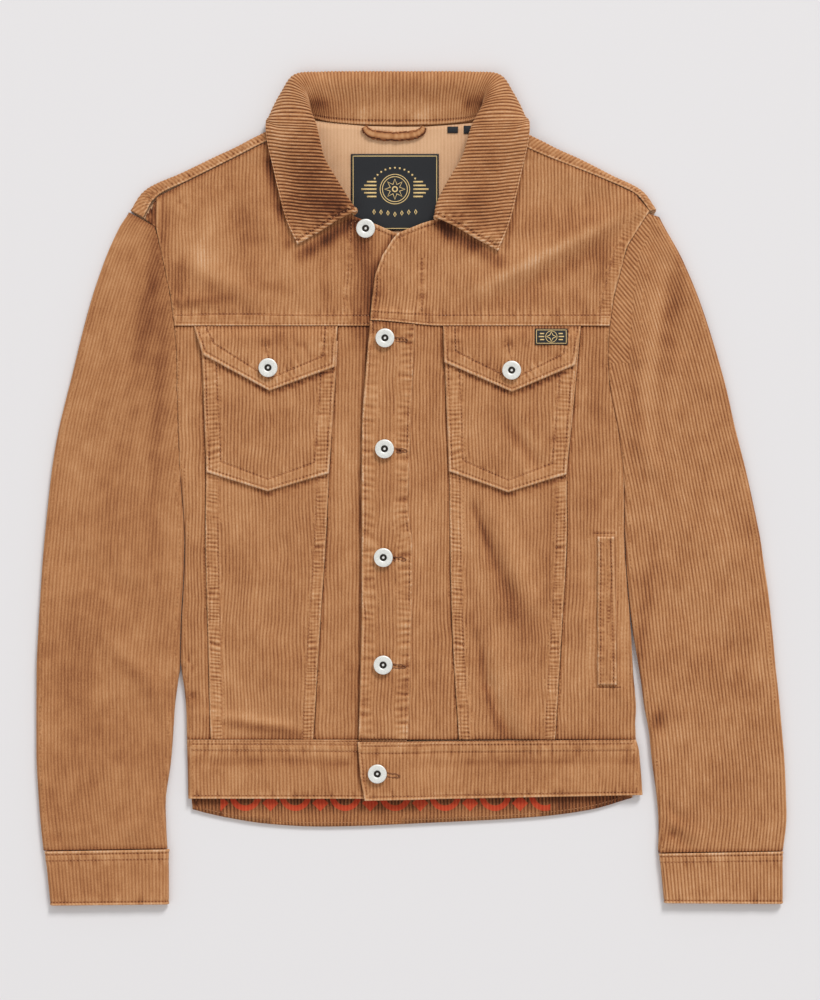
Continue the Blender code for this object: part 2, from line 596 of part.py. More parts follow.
def back_panels(finish):
    """The three pieces of the back between the yoke and the waistband, which dips in the middle."""
    half = SEAM / 2
    head = BACK_YOKE_SEAM - half
    pieces = (
        # name, seam on its right side, seam on its left side; None is the side of the body
        ("back_side_right", None, BACK_SEAMS[0]),
        ("back_centre", BACK_SEAMS[0], BACK_SEAMS[1]),
        ("back_side_left", BACK_SEAMS[1], None),
    )
    for name, left, right in pieces:
        ends = []
        for share in spread(0.0, 1.0, 15):
            places = []
            for edge, which, sign in ((left, 1, 1), (right, 2, -1)):
                guess = HEM_SEAM + (head - HEM_SEAM) * share
                x = body_side(guess, which) if edge is None else edge[0] + (edge[1] - edge[0]) * share
                foot = read(BACK_HEM, x) + BACK_BAND_WIDTH + half
                y = foot + (head - foot) * share
                x = body_side(y, which) if edge is None else x
                places.append((x + sign * half, y))
            ends.append(tuple(places))
        rolls = (rolled if left is None else None, rolled if right is None else None)
        panel(name, finish, ends, 4, back_foot, -1, CLOTH, BACK_ROLL, rolls)


def waistbands(finish):
    half = SEAM / 2
    back_rows = []
    for share in spread(0.0, 1.0, 4):
        row = []
        low, high = (foot + (head - foot) * share for foot, head in BACK_BAND_ENDS)
        for x in spread(low, high, 15):
            foot = read(BACK_HEM, x)
            row.append((x, foot + (BACK_BAND_WIDTH - half) * share))
        back_rows.append(row)
    outer, inner = [], []
    for row in back_rows:
        start, end = row[0], row[-1]
        first = rolled_end((start[0] - BACK_ROLL, start[1]), (1, 0), 1.0, back_foot, -1, CLOTH, BACK_ROLL)
        last = rolled_end((end[0] + BACK_ROLL, end[1]), (-1, 0), 1.0, back_foot, -1, CLOTH, BACK_ROLL)
        outer.append(first[0] + [(x, y, 0.0) for x, y in row] + last[0][::-1])
        inner.append(first[1] + [(x, y, BAND_WALL) for x, y in row] + last[1][::-1])
    skin("waistband_back", outer, inner, finish)

    radius = FRONT_ROLL + BAND_RISE
    levels = spread(WAIST_FOOT, HEM_SEAM - half, 5)
    ends = [((body_side(y, 1) + half, y), (UNDERLAP_EDGE, y)) for y in levels]
    panel("waistband_front_right", finish, ends, 9, band_top, 1, BAND_WALL, radius, (full, None))
    ends = []
    for share in spread(0.0, 1.0, 5):
        start = mix(*BAND_EDGE, share)
        high = HEM_SEAM - half
        low = WAIST_FOOT + LEFT_BAND_SHORT
        y = low + (high - low) * share
        ends.append((start, (body_side(y, 2) - half, y)))
    panel("waistband_front_left", finish, ends, 15, lapped_band_top, 1, BAND_WALL, radius, (None, full))


def sleeves(finish):
    for side, outer, inner in (("right", 1, 2), ("left", 4, 3)):
        for layer, rows, steps, height, sign, radius in (
            ("upper", 19, 8, front_top, 1, FRONT_ROLL),
            ("under", 12, 4, back_foot, -1, BACK_ROLL),
        ):
            ends = []
            for share in spread(0.0, 1.0, rows):
                outer_y, inner_y = mix(SLEEVE_FEET[side], SLEEVE_HEADS[side], share)
                ends.append(
                    ((read(SLEEVE_SIDES, outer_y, outer), outer_y), (read(SLEEVE_SIDES, inner_y, inner), inner_y))
                )
            name = f"sleeve_{layer}_{side}"
            panel(name, finish, ends, steps, height, sign, CLOTH, radius, (full, rolled))


def cuffs(finish):
    """Each cuff is a flattened ring of cloth, open at the wrist and towards the sleeve."""
    for side, (outer_foot, outer_head, inner_head, inner_foot) in (("right", RIGHT_CUFF), ("left", LEFT_CUFF)):
        outer, inner = [], []
        for share in spread(0.0, 1.0, 4):
            start, end = mix(outer_foot, outer_head, share), mix(inner_foot, inner_head, share)
            length = math.dist(start, end)
            way = ((end[0] - start[0]) / length, (end[1] - start[1]) / length)
            rings = []
            for inset in (0.0, CUFF_WALL):
                ring = []
                corner = CUFF_ROLL - inset
                for middle, angles in ((CUFF_ROLL, range(270, 89, -30)), (length - CUFF_ROLL, range(90, -91, -30))):
                    for angle in angles:
                        reach = middle + corner * math.cos(math.radians(angle))
                        z = CUFF_ROLL + corner * math.sin(math.radians(angle))
                        ring.append((start[0] + way[0] * reach, start[1] + way[1] * reach, z))
                rings.append(ring)
            outer.append(rings[0])
            inner.append(rings[1])
        skin(f"cuff_{side}", outer, inner, finish, ring=True)


def patch_grid(sizes, head, columns, rows):
    """Plan points of a pocket or flap whose foot comes to a point."""
    left_x, left_y, point_x, point_y, right_x, right_y, head_left, head_right = sizes
    half = columns // 2
    feet = [mix((left_x, left_y), (point_x, point_y), i / half) for i in range(half)]
    feet += [mix((point_x, point_y), (right_x, right_y), i / half) for i in range(half + 1)]
    heads = [(x, head) for x in spread(head_left, head_right, len(feet))]
    return [[mix(a, b, share) for a, b in zip(feet, heads)] for share in spread(0.0, 1.0, rows)]


def pocket_top(x, y):
    return front_top(x, y) + CLEAR + PATCH_WALL


def flap_top(x, y):
    """A flap comes out of the yoke seam and lies on its pocket."""
    drop = 1.0 - smooth(y, POCKET_HEAD + 1.0, FLAP_HEAD)
    return front_top(x, y) + CLEAR + PATCH_WALL + (CLEAR + PATCH_WALL) * drop


def placket_top(x, y):
    return lapped_top(x, y) + CLEAR + PATCH_WALL


def patches(finish):
    for side, pocket, flap in (("right", RIGHT_POCKET, RIGHT_FLAP), ("left", LEFT_POCKET, LEFT_FLAP)):
        laid(f"pocket_{side}", patch_grid(pocket, POCKET_HEAD, 8, 7), finish, pocket_top, PATCH_WALL)
        laid(f"pocket_flap_{side}", patch_grid(flap, FLAP_HEAD, 8, 6), finish, flap_top, PATCH_WALL)
    grid = []
    for y in spread(HEM_SEAM + 1.0, YOKE_SEAM - 0.6, PANEL_ROWS):
        left = read(FRONT_SEAMS, y, 3) + 0.2
        grid.append([(x, y) for x in spread(left, read(PLACKET_SIDE, y), 4)])
    laid("placket", grid, finish, placket_top, PATCH_WALL)
    foot, head, inner_x, outer_x = WELT
    grid = []
    for share in spread(0.0, 1.0, 9):
        lean = WELT_LEAN * share
        grid.append([(x - lean, foot + (head - foot) * share) for x in spread(inner_x + lean, outer_x + lean, 3)])
    laid("welt_left", grid, finish, pocket_top, PATCH_WALL)


def spline(points, steps):
    """Points along a smooth curve through the given ones."""
    table = [(i, *point) for i, point in enumerate(points)]
    keys = spread(0, len(points) - 1, steps)
    return [tuple(read(table, key, column) for column in (1, 2, 3)) for key in keys]


def collar_stations():
    """The collar's middle surface, from the right leaf round the back to the left leaf."""
    tables = []
    for place in range(len(LEAN_SHARES)):
        tables.append([(i, *row[place], row[-1], drop) for i, (row, drop) in enumerate(zip(COLLAR, LEAF_DROP))])
    stations = []
    for side in (-1, 1):
        half = []
        for key in spread(0, len(COLLAR) - 1, COLLAR_STATIONS):
            points = []
            for place, table in enumerate(tables):
                out, up, high, lean, drop = (read(table, key, column) for column in (1, 2, 3, 4, 5))
                if side > 0:
                    out, up = out - lean * LEAN_SHARES[place], up - drop
                points.append((CENTRE + side * out, up, high))
            level = [(x, y, max(z, COLLAR_WALL / 2 + 0.05)) for x, y, z in spline(points, COLLAR_STEPS)]
            half.append(level)
        stations.append(half)
    return stations[0][::-1] + stations[1][1:]


def collar(finish):
    middle = collar_stations()
    outer, inner = [], []
    count, steps = len(middle), len(middle[0])
    for i in range(count):
        outer.append([])
        inner.append([])
        for j in range(steps):
            along_neck = Vector(middle[min(i + 1, count - 1)][j]) - Vector(middle[max(i - 1, 0)][j])
            across = Vector(middle[i][min(j + 1, steps - 1)]) - Vector(middle[i][max(j - 1, 0)])
            away = along_neck.cross(across).normalized() * COLLAR_WALL / 2
            point = Vector(middle[i][j])
            outer[-1].append(tuple(point + away))
            inner[-1].append(tuple(point - away))
    skin("collar", outer, inner, finish)


def label_top(x, y):
    return back_foot(x, y) + CLOTH + CLEAR + LABEL_WALL


def flap_label_top(x, y):
    return flap_top(x, y) + CLEAR + LABEL_WALL


def loop_top(x, y):
    return back_foot(x, y) + CLOTH + CLEAR + CLOTH


def rectangle(left, right, foot, head, columns, rows):
    return [[(x, y) for x in spread(left, right, columns)] for y in spread(foot, head, rows)]


def neck_trim(finishes):
    """What is sewn inside the back neck: the label, two tabs and the hanger loop."""
    laid("neck_label", rectangle(*NECK_LABEL, 3, 8), finishes["label"], label_top, LABEL_WALL)
    for number, tab in enumerate(SIZE_TABS, 1):
        laid(f"size_tab_{number}", rectangle(*tab, 2, 2), finishes["label"], label_top, LABEL_WALL)
    laid("flap_label", rectangle(*FLAP_LABEL, 3, 4), finishes["label"], flap_label_top, LABEL_WALL)
    grid = []
    for i, (x, y) in enumerate(LOOP):
        before, after = LOOP[max(i - 1, 0)], LOOP[min(i + 1, len(LOOP) - 1)]
        way = Vector((after[0] - before[0], after[1] - before[1])).normalized()
        half = LOOP_WIDTH / 2
        grid.append([(x + way.y * half, y - way.x * half), (x, y), (x - way.y * half, y + way.x * half)])
    grid = [[(x, min(y, LOOP_HEAD)) for x, y in row] for row in grid]
    laid("hanger_loop", grid, finishes["corduroy"], loop_top, CLOTH)


def button(name, place, foot, finish):
    """A ring-top shank button, its shank's foot just over the cloth."""
    mesh = bmesh.new()
    profile = [mesh.verts.new((radius * MM, 0.0, height * MM)) for radius, height in BUTTON_PROFILE]
    edges = [mesh.edges.new(pair) for pair in zip(profile, profile[1:])]
    bmesh.ops.spin(
        mesh, geom=profile + edges, cent=(0, 0, 0), axis=(0, 0, 1), angle=math.tau,
        steps=BUTTON_SIDES, use_merge=True, use_duplicate=False,
    )
    bmesh.ops.remove_doubles(mesh, verts=mesh.verts, dist=0.00005)
    made = finish_mesh(name, mesh, finish)
    made.location = Vector((place[0], place[1], foot + CLEAR)) * MM
    return made


def buttons(finish):
    heights = [front_top] + [placket_top] * 4 + [lapped_band_top]
    for number, (place, height) in enumerate(zip(FRONT_BUTTONS, heights), 1):
        button(f"front_button_{number}", place, height(*place), finish)
    for side, place in FLAP_BUTTONS.items():
        button(f"flap_button_{side}", place, flap_top(*place), finish)


def main():
    clear_scene()
    finishes = make_finishes()
    cord = finishes["corduroy"]
    back_cord = finishes["corduroy_back"]
    back_yoke(back_cord)
    back_panels(back_cord)
    front_panels(cord)
    front_yokes(cord)
    waistbands(cord)
    sleeves(cord)
    cuffs(cord)
    patches(cord)
    collar(cord)
    neck_trim(finishes)
    buttons(finishes["button_metal"])


main()
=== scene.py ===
import math
from functools import partial

import bpy
import numpy as np
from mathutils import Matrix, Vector
from mathutils.geometry import delaunay_2d_cdt


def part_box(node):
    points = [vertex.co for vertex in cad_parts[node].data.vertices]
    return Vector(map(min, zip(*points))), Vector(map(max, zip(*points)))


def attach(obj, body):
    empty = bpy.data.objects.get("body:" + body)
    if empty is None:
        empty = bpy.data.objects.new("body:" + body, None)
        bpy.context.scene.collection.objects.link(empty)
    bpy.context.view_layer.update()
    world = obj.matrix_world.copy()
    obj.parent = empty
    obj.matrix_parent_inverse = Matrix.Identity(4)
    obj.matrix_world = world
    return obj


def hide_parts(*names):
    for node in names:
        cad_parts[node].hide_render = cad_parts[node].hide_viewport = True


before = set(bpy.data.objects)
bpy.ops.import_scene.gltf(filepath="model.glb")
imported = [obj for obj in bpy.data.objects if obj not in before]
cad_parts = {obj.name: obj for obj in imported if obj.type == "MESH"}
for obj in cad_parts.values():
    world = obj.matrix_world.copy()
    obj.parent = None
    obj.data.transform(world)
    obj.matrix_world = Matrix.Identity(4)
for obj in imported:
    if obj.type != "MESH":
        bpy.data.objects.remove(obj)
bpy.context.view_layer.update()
mm = 0.001
quarter = math.pi / 2

cloth = {
    "wale": 3.175,              # eight wales to the inch
    "pile": 0.62,               # height of a wale over the valley beside it
    "level": 0.55,              # share of it under the cloth's level
    "pressed": 0.6,             # share that pressing takes away
    "wall": 2.0, "bandWall": 3.0, "cuffWall": 2.6, "collarWall": 2.6, "patchWall": 1.8, "labelWall": 0.8,
    "seamGap": 0.08,            # between two pieces at a seam
    "lip": 0.65, "thickLip": 1.5,
    "rowStep": 3.4,             # mesh step along a wale; across it there are four to a wale
    "fineShare": 3,             # and this many times finer at seams and stitching
    "underStep": 9.0, "insideStep": 11.0, "lowest": 0.02,
}
thread = {
    "pitch": 3.2, "shown": 2.2, "radius": 0.3, "sides": 4, "sunk": 0.3, "proud": 0.1,
    "first": 0.6, "last": 0.4,  # bare at a row's ends
    "overPile": 0.35,           # share of the pile that a stitch lies over
}
stack = {
    "top": 7.2, "frontRoll": 3.6, "backRoll": 3.25, "bandRise": 0.6, "lapRise": 2.4, "bandLapRise": 3.4,
    "lapEnd": 3.5, "lapFoot": 20.0, "clear": 0.4, "foldFade": (3.0, 14.0),
}
# How much the collar lifts the cloth round the neck, from which height and how far from the middle
frontLift = {"rise": 2.5, "heights": (296, 318), "reach": (130, 162)}
backLift = {"rise": 3.1, "heights": (280, 314), "reach": (136, 168)}
seams = {
    "hem": -230.6, "yoke": 150.2, "yokeRise": 5.0, "yokeSlope": (-40.0, 29.0), "backYoke": 160.0,
    "waistFoot": -285.0, "backBand": 54.0, "centre": -12.6, "underlap": -4.0, "underarm": (-8.0, 24.0),
    "flapHead": (137.0, 149.7),
}

# Sides of the body and armholes: height, wearer's right, wearer's left
bodySides = (
    (-290, -205.5, 213.5), (-241, -206.6, 209.6), (-226, -207.0, 206.0), (-200, -207.6, 206.8),
    (-181, -209.6, 205.2), (-164, -212.2, 204.0), (-146, -212.5, 203.0), (-131, -212.2, 202.2),
    (-115, -211.6, 201.0), (-91, -210.0, 199.0), (-65, -209.0, 197.0), (-42, -208.8, 196.2),
    (16, -213.0, 195.0), (55, -214.8, 190.0), (94, -215.8, 182.5), (130, -216.5, 181.0),
    (178, -222.0, 186.5), (223, -231.5, 198.5), (241, -235.5, 209.5),
)
# Sleeves: height, wearer's right outer and inner side, wearer's left inner and outer side
sleeveSides = (
    (-334, -338.8, -224.6, 227.2, 342.0), (-306, -341.8, -226.0, 227.4, 345.3),
    (-284, -343.4, -226.2, 225.9, 345.0), (-251, -345.3, -221.4, 221.4, 343.6),
    (-222, -345.5, -219.2, 218.4, 341.2), (-200, -345.5, -217.8, 214.2, 339.2),
    (-181, -345.4, -215.4, 211.8, 337.2), (-164, -345.3, -212.9, 209.2, 335.4),
    (-146, -344.6, -212.9, 206.2, 333.8), (-131, -343.8, -212.6, 203.6, 332.4),
    (-115, -342.9, -212.0, 201.6, 330.8), (-91, -341.4, -210.4, 199.4, 328.0),
    (-65, -339.6, -209.4, 197.4, 324.0), (-42, -337.6, -209.2, 196.6, 320.6),
    (14, -331.7, -213.4, 195.4, 308.7), (55, -324.8, -215.2, 190.4, 298.4),
    (102, -313.3, -216.4, 182.4, 287.5), (168, -296.7, -220.8, 185.6, 267.3),
    (212, -282.0, -229.3, 195.8, 249.2), (241, -269.0, -235.9, 209.9, 233.2),
    (254, -260.4, -240.4, 217.8, 226.4),
)
# Seams under the yokes: height, right outer, right inner, front edge, left inner, left outer
frontSeams = (
    (-231, -184.9, -90.3, -48.8, 43.6, 132.2), (-135, -187.4, -84.6, -46.2, 37.7, 138.0),
    (-47, -189.6, -78.8, -45.8, 35.4, 142.9), (14, -189.1, -75.9, -46.0, 34.6, 143.1),
    (69, -190.6, -72.6, -45.1, 32.3, 148.4), (156, -194.2, -67.8, -38.0, 28.8, 156.4),
)
placketSide = ((-231, -3.0), (-150, -0.5), (-47, 0.3), (-19, -3.2), (69, -0.3), (156, 3.4))
backHem = (
    (-206, -293.0), (-200, -295.6), (-185, -299.4), (-165, -303.6), (-134, -308.3), (-81, -311.0),
    (17, -307.5), (115, -302.0), (167, -295.0), (202, -284.8), (214, -281.8),
)
# Heads of the front yokes from the armhole round to the front edge
rightYokeHead = (
    (-246.6, 249.3), (-233.5, 269.2), (-205.0, 283.6), (-176.0, 298.0), (-148.0, 312.0), (-122.0, 325.0),
    (-100.0, 336.0), (-96.4, 329.0), (-88.6, 303.0), (-70.4, 270.0), (-51.6, 250.4), (-31.0, 243.0),
    (-13.5, 235.0), (-4.0, 231.5),
)
leftYokeHead = (
    (-12.6, 235.2), (-4.0, 239.0), (9.0, 244.2), (26.2, 249.6), (45.6, 270.0), (63.4, 303.0),
    (71.2, 322.0), (74.6, 329.5), (96.0, 318.6), (122.0, 307.2), (150.0, 296.2), (178.0, 285.0),
    (205.2, 272.2), (219.0, 255.8),
)
lapelEdge = ((-38.2, 155.4), (-36.4, 174.6), (-33.8, 195.8), (-26.8, 215.1), (-17.9, 229.3), (-12.6, 235.2))
# Where the back yoke folds over the shoulders and where it meets the front: fold x, y, seam x, y
rightShoulder = (
    (-259.6, 255.6, -246.9, 250.0), (-245.2, 275.1, -233.8, 269.9), (-212.0, 291.1, -205.2, 284.2),
    (-181.0, 306.3, -176.2, 298.6), (-151.0, 321.1, -148.2, 312.6), (-123.0, 334.8, -122.0, 325.5),
    (-100.4, 346.6, -99.6, 336.6),
)
backNeck = (
    (-92.6, 339.6), (-72.0, 337.0), (-44.0, 334.2), (-12.6, 333.4), (14.0, 333.6), (42.0, 335.6),
    (64.6, 337.8),
)
leftShoulder = (
    (75.4, 342.4, 74.4, 330.1), (98.0, 331.4, 96.0, 318.6), (124.0, 319.0, 122.0, 307.2),
    (152.0, 305.7, 150.0, 296.2), (180.0, 291.6, 178.0, 285.0), (211.5, 274.9, 205.2, 272.2),
    (227.2, 252.4, 219.3, 256.2),
)
# Folds of the laid cloth: from x, y to x, y, width, height over the level cloth
folds = (
    (58, -20, 90, -98, 7.0, -2.2), (74, -22, 110, -104, 11.0, 1.5), (60, -139, 70, -180, 6.0, -2.2),
    (70, -180, 91, -229, 6.0, -2.4), (80, -150, 108, -226, 9.0, 1.9), (205, 259, 63, 187, 11.0, 2.9),
    (210, 244, 90, 178, 9.0, -1.2), (104, 264, 176, 266, 15.0, -1.6), (84, 66, 116, 24, 7.0, -1.6),
    (96, 178, 150, 196, 18.0, -0.9), (-216, 173, -184, 172, 5.0, 1.5), (-199, 206, -150, 180, 11.0, 1.5),
    (-158, 252, -136, 222, 12.0, -1.2), (-120, 236, -96, 190, 20.0, 0.9),
    (-170, -211, -116, -219, 5.0, 1.3), (-150, -120, -110, -190, 14.0, 0.9),
    (-150, -20, -120, -60, 16.0, -0.8), (-294, -119, -226, -196, 13.0, 1.3),
    (-318, -60, -262, -92, 14.0, -1.1), (-300, 60, -262, 96, 18.0, 1.0), (-232, -285, -256, -313, 7.0, 1.7),
    (-334, -320, -322, -322, 8.0, -1.3), (234, -293, 248, -304, 5.0, -1.7),
    (238, -316, 254, -328, 5.0, -1.7), (236, -304, 262, -318, 6.0, 1.3), (220, -196, 229, -222, 6.0, -1.6),
    (202, 60, 224, 20, 9.0, 1.5), (214, 214, 206, 120, 7.0, 1.7), (232, 206, 246, 130, 9.0, -1.5),
    (262, -40, 306, -70, 14.0, 1.1), (250, -110, 300, -150, 13.0, -1.1), (-20, -96, 10, -120, 10.0, 0.8),
    (158, -120, 196, -190, 9.0, 1.2), (150, -20, 164, -90, 9.0, -1.0),
)
# Painted light and shade of folds and cast shadows, with lighter worn places: x, y, reach along and across,
# turn in degrees, amount (painted light and wear above zero, painted shade below)
tints = (
    (128, 218, 78, 5, 27, 1.1), (140, 203, 66, 9, 27, -0.45), (112, 246, 44, 14, 4, -0.3),
    (176, 200, 7, 30, 8, -0.5), (96, 172, 44, 8, 6, -0.3), (62, 214, 26, 16, 20, 0.5),
    (150, 272, 40, 14, -20, 0.35), (-190, 222, 12, 34, -12, 0.7), (-178, 200, 46, 12, -36, 0.6),
    (-180, 184, 36, 9, -30, -0.5), (-152, 238, 12, 22, 10, -0.7), (-196, 172, 26, 4, 8, -0.9),
    (-110, 200, 20, 30, 10, 0.35), (-128, 186, 26, 6, -12, -0.4), (-214, 190, 6, 20, -10, -0.7),
    (-80, 182, 8, 30, 6, -0.4), (66, -38, 3.6, 24, 21, -0.9), (80, -74, 6, 34, 20, -0.6),
    (95, -108, 10, 22, 18, -0.6), (60, -74, 6, 42, 20, 0.55), (104, -76, 9, 40, 18, 0.45),
    (128, -60, 5, 60, -3, -0.35), (65, -160, 4.4, 24, 8, -0.7), (72, -196, 4.6, 22, 18, -0.9),
    (84, -222, 6, 12, 34, -0.9), (84, -180, 9, 44, 15, 0.55), (52, -190, 6, 36, 14, 0.4),
    (100, 44, 6, 28, 39, -0.6), (112, 40, 6, 26, 39, 0.5), (56, 60, 10, 40, 6, 0.3),
    (-138, -212, 36, 4, -8, 0.8), (-138, -220, 40, 4, -8, -0.9), (-40, 190, 11, 40, 4, -1.2),
    (-50, 152, 10, 30, 4, -0.6), (-48, 226, 10, 14, -20, -0.9), (-240, 180, 9, 70, -10, -1.1),
    (-232, 90, 8, 90, -3, -0.7), (-236, -60, 8, 80, 0, -0.3), (-300, 40, 30, 70, -12, 0.2),
    (-262, -150, 34, 8, -40, 0.4), (-258, -168, 34, 7, -40, -0.4), (222, 130, 7, 70, -6, 0.6),
    (240, 160, 9, 60, -8, -0.7), (206, 60, 7, 60, 4, -0.5), (214, -120, 6, 70, -8, -0.6),
    (228, -214, 6, 10, 0, -1.0), (170, -60, 12, 60, 2, -0.3), (-60, -150, 10, 70, 2, -0.2),
    (18, 60, 9, 60, 0, -0.3), (-58, 60, 6, 26, 0, -0.2), (22, -150, 9, 60, 4, -0.3),
    (168, 90, 8, 44, 6, -0.4), (-206, 60, 7, 60, 0, 0.3), (-132, 60, 20, 20, 0, -0.3),
    (-300, -120, 40, 160, -4, -0.22), (-60, -10, 9, 160, 0, 0.35), (170, -140, 12, 60, 0, -0.3),
    (92, -120, 46, 110, 0, -0.24),
)


def smooth(value, low, high):
    share = np.clip((value - low) / (high - low), 0.0, 1.0)
    return share * share * (3.0 - 2.0 * share)


def swell(value, middle, width):
    return np.exp(-(((value - middle) / width) ** 2))


def read(table, keys, column=1):
    # a table's column, read along a smooth curve through its rows
    rows = np.array(table, float)
    at, values = rows[:, 0], rows[:, column]
    before, after = np.maximum(np.arange(len(at)) - 1, 0), np.minimum(np.arange(len(at)) + 1, len(at) - 1)
    slopes = (values[after] - values[before]) / (at[after] - at[before])
    keys = np.clip(keys, at[0], at[-1])
    last = np.clip(np.searchsorted(at, keys, "right") - 1, 0, len(at) - 2)
    span = at[last + 1] - at[last]
    share = (keys - at[last]) / span
    square, cube = share ** 2, share ** 3
    return (
        values[last] * (2 * cube - 3 * square + 1) + slopes[last] * span * (cube - 2 * square + share)
        + values[last + 1] * (3 * square - 2 * cube) + slopes[last + 1] * span * (cube - square)
    )


def curve(points, count):
    # places along a smooth curve through the given ones
    keyed = [(i, *point) for i, point in enumerate(points)]
    keys = np.linspace(0, len(points) - 1, count)
    return np.stack([read(keyed, keys, column + 1) for column in range(len(points[0]))], -1)


def drift(x, y, across, along, seed):
    # smooth random heights from -1 to 1, about one swell for each across by along
    size = 97
    draw = np.random.default_rng(seed).uniform(-1.0, 1.0, (size, size))
    u, v = np.asarray(x) / across, np.asarray(y) / along
    i, j = np.floor(u).astype(int), np.floor(v).astype(int)
    s, t = u - i, v - j
    s, t = s * s * (3 - 2 * s), t * t * (3 - 2 * t)
    low = draw[i % size, j % size] * (1 - s) + draw[(i + 1) % size, j % size] * s
    high = draw[i % size, (j + 1) % size] * (1 - s) + draw[(i + 1) % size, (j + 1) % size] * s
    return low * (1 - t) + high * t


def uneven(reach, away, level, swing, every, across, seed):
    # an amount that wanders about its level along a line
    return level + swing * drift(reach, away, every, across, seed)


def unit(vectors):
    return vectors / np.maximum(np.linalg.norm(vectors, axis=-1, keepdims=True), 1e-9)


def nearLine(a, b, line):
    # distance of each point from a line, and how far along the line its nearest place is
    best, reach, run = np.full(np.shape(a), 1e6), np.zeros(np.shape(a)), 0.0
    for (ax, ay), (bx, by) in zip(line[:-1], line[1:]):
        dx, dy = bx - ax, by - ay
        length = math.hypot(dx, dy)
        if length < 1e-6:
            continue
        share = np.clip(((a - ax) * dx + (b - ay) * dy) / length ** 2, 0.0, 1.0)
        away = np.hypot(a - ax - share * dx, b - ay - share * dy)
        closer = away < best
        best = np.where(closer, away, best)
        reach = np.where(closer, run + share * length, reach)
        run += length
    return best, reach


def inside(a, b, outline):
    found = np.zeros(np.shape(a), bool)
    for (ax, ay), (bx, by) in zip(outline, np.roll(outline, -1, axis=0)):
        if ay != by:
            found ^= ((ay > b) != (by > b)) & (a < (bx - ax) * (b - ay) / (by - ay) + ax)
    return found


def waleShape(a):
    # 1 on a wale's crest and 0 in the valley
    return (0.5 + 0.5 * np.cos(math.tau * a / cloth["wale"])) ** 0.7


def foldHeight(x, y):
    total = np.zeros(np.shape(x))
    for fromX, fromY, toX, toY, width, height in folds:
        away, reach = nearLine(x, y, ((fromX, fromY), (toX, toY)))
        total = total + height * uneven(reach, away, 1.0, 0.3, 22.0, 30.0, 3) * swell(away, 0.0, width)
    return total


def rolled(y):
    # 1 where the side is a rolled edge, 0 in the armhole, where body and sleeve are sewn
    return 1.0 - smooth(y, *seams["underarm"])


def always(y):
    return 1.0 + 0.0 * y


def edgeFade(x, y):
    # folds run out beside a rolled edge
    def clearOf(table, *columns):
        away = [np.abs(x - read(table, y, column)) for column in columns]
        return smooth(np.minimum(*away), *stack["foldFade"])
    near = np.minimum(clearOf(sleeveSides, 2, 3), clearOf(bodySides, 1, 2))
    return np.minimum(clearOf(sleeveSides, 1, 4), 1.0 - rolled(y) * (1.0 - near))


def lifted(x, y, spec):
    beside = smooth(np.abs(x - seams["centre"]), *spec["reach"])
    return spec["rise"] * smooth(y, *spec["heights"]) * (1.0 - beside)


def frontTop(x, y):
    return stack["top"] + foldHeight(x, y) * edgeFade(x, y) + lifted(x, y, frontLift)


def backFoot(x, y):
    return lifted(x, y, backLift)


def lap(x):
    return 1.0 - smooth(x, stack["lapEnd"], stack["lapFoot"])


def lappedTop(x, y):
    return frontTop(x, y) + stack["lapRise"] * lap(x)


def bandTop(x, y):
    return frontTop(x, y) + stack["bandRise"]


def lappedBandTop(x, y):
    return bandTop(x, y) + stack["bandLapRise"] * lap(x)


def pocketTop(x, y):
    return frontTop(x, y) + stack["clear"] + cloth["patchWall"]


def flapTop(x, y):
    return pocketTop(x, y) + (stack["clear"] + cloth["patchWall"]) * (1.0 - smooth(y, *seams["flapHead"]))


def placketTop(x, y):
    return lappedTop(x, y) + stack["clear"] + cloth["patchWall"]


def yokeLine(x):
    # the left front's yoke seam, which rises towards the front edge
    return seams["yoke"] + seams["yokeRise"] * (1.0 - smooth(np.asarray(x, float), *seams["yokeSlope"]))


def edge(line, **more):
    # one side of a piece: its line on the plan and how the cloth ends there
    part = {"lip": cloth["lip"], "roll": None, "radius": 0.0, "wear": 0.4, "sink": 0.0, "rim": 0.0}
    return {"line": line, "rimWidth": 2.3, **part, **more}


def strip(line, width, rise=0.7, ladder=0.5, rung=3.6):
    # a band of doubled cloth beside a line, puckered across like a ladder
    return {"line": line, "width": width, "rise": rise, "ladder": ladder, "rung": rung}


def row(line, dent=0.42, pucker=0.3, reach=4.0, dark=1.0, **more):
    # a row of stitching and the puckers that it draws in; dark is the painted shade in its stitch holes and
    # groove
    return {"line": line, "dent": dent, "pucker": pucker, "reach": reach, "dark": dark, "sewn": True, **more}


def ridge(line, width, rise, wear, press=0.3):
    # a soft line in the cloth; its fourth number lightens above zero as painted highlight and wear, and
    # darkens below zero as painted shade
    return {"line": line, "width": width, "rise": rise, "wear": wear, "press": press}


def shifted(line, dx, dy=0.0):
    return [(x + dx, y + dy) for x, y in line]


def followed(low, high, column, table, shift=0.0, steps=60):
    # a side that runs up a table's column
    heights = np.linspace(low, high, steps)
    return [(float(x) + shift, float(y)) for x, y in zip(read(table, heights, column), heights)]


def uprightGrain(sway, seed):
    # wales that run up the piece, swaying a little as washed cloth does
    def wander(a, y):
        return sway * drift(a, y, 46.0, 70.0, seed) + 0.42 * sway * drift(a, y, 15.0, 20.0, seed + 1)

    def toPlan(a, b):
        return a + wander(a, b), b

    def toGrain(x, y):
        a = np.array(x, float)
        for _ in range(5):
            a = x - wander(a, y)
        return a, np.array(y, float)
    return toPlan, toGrain


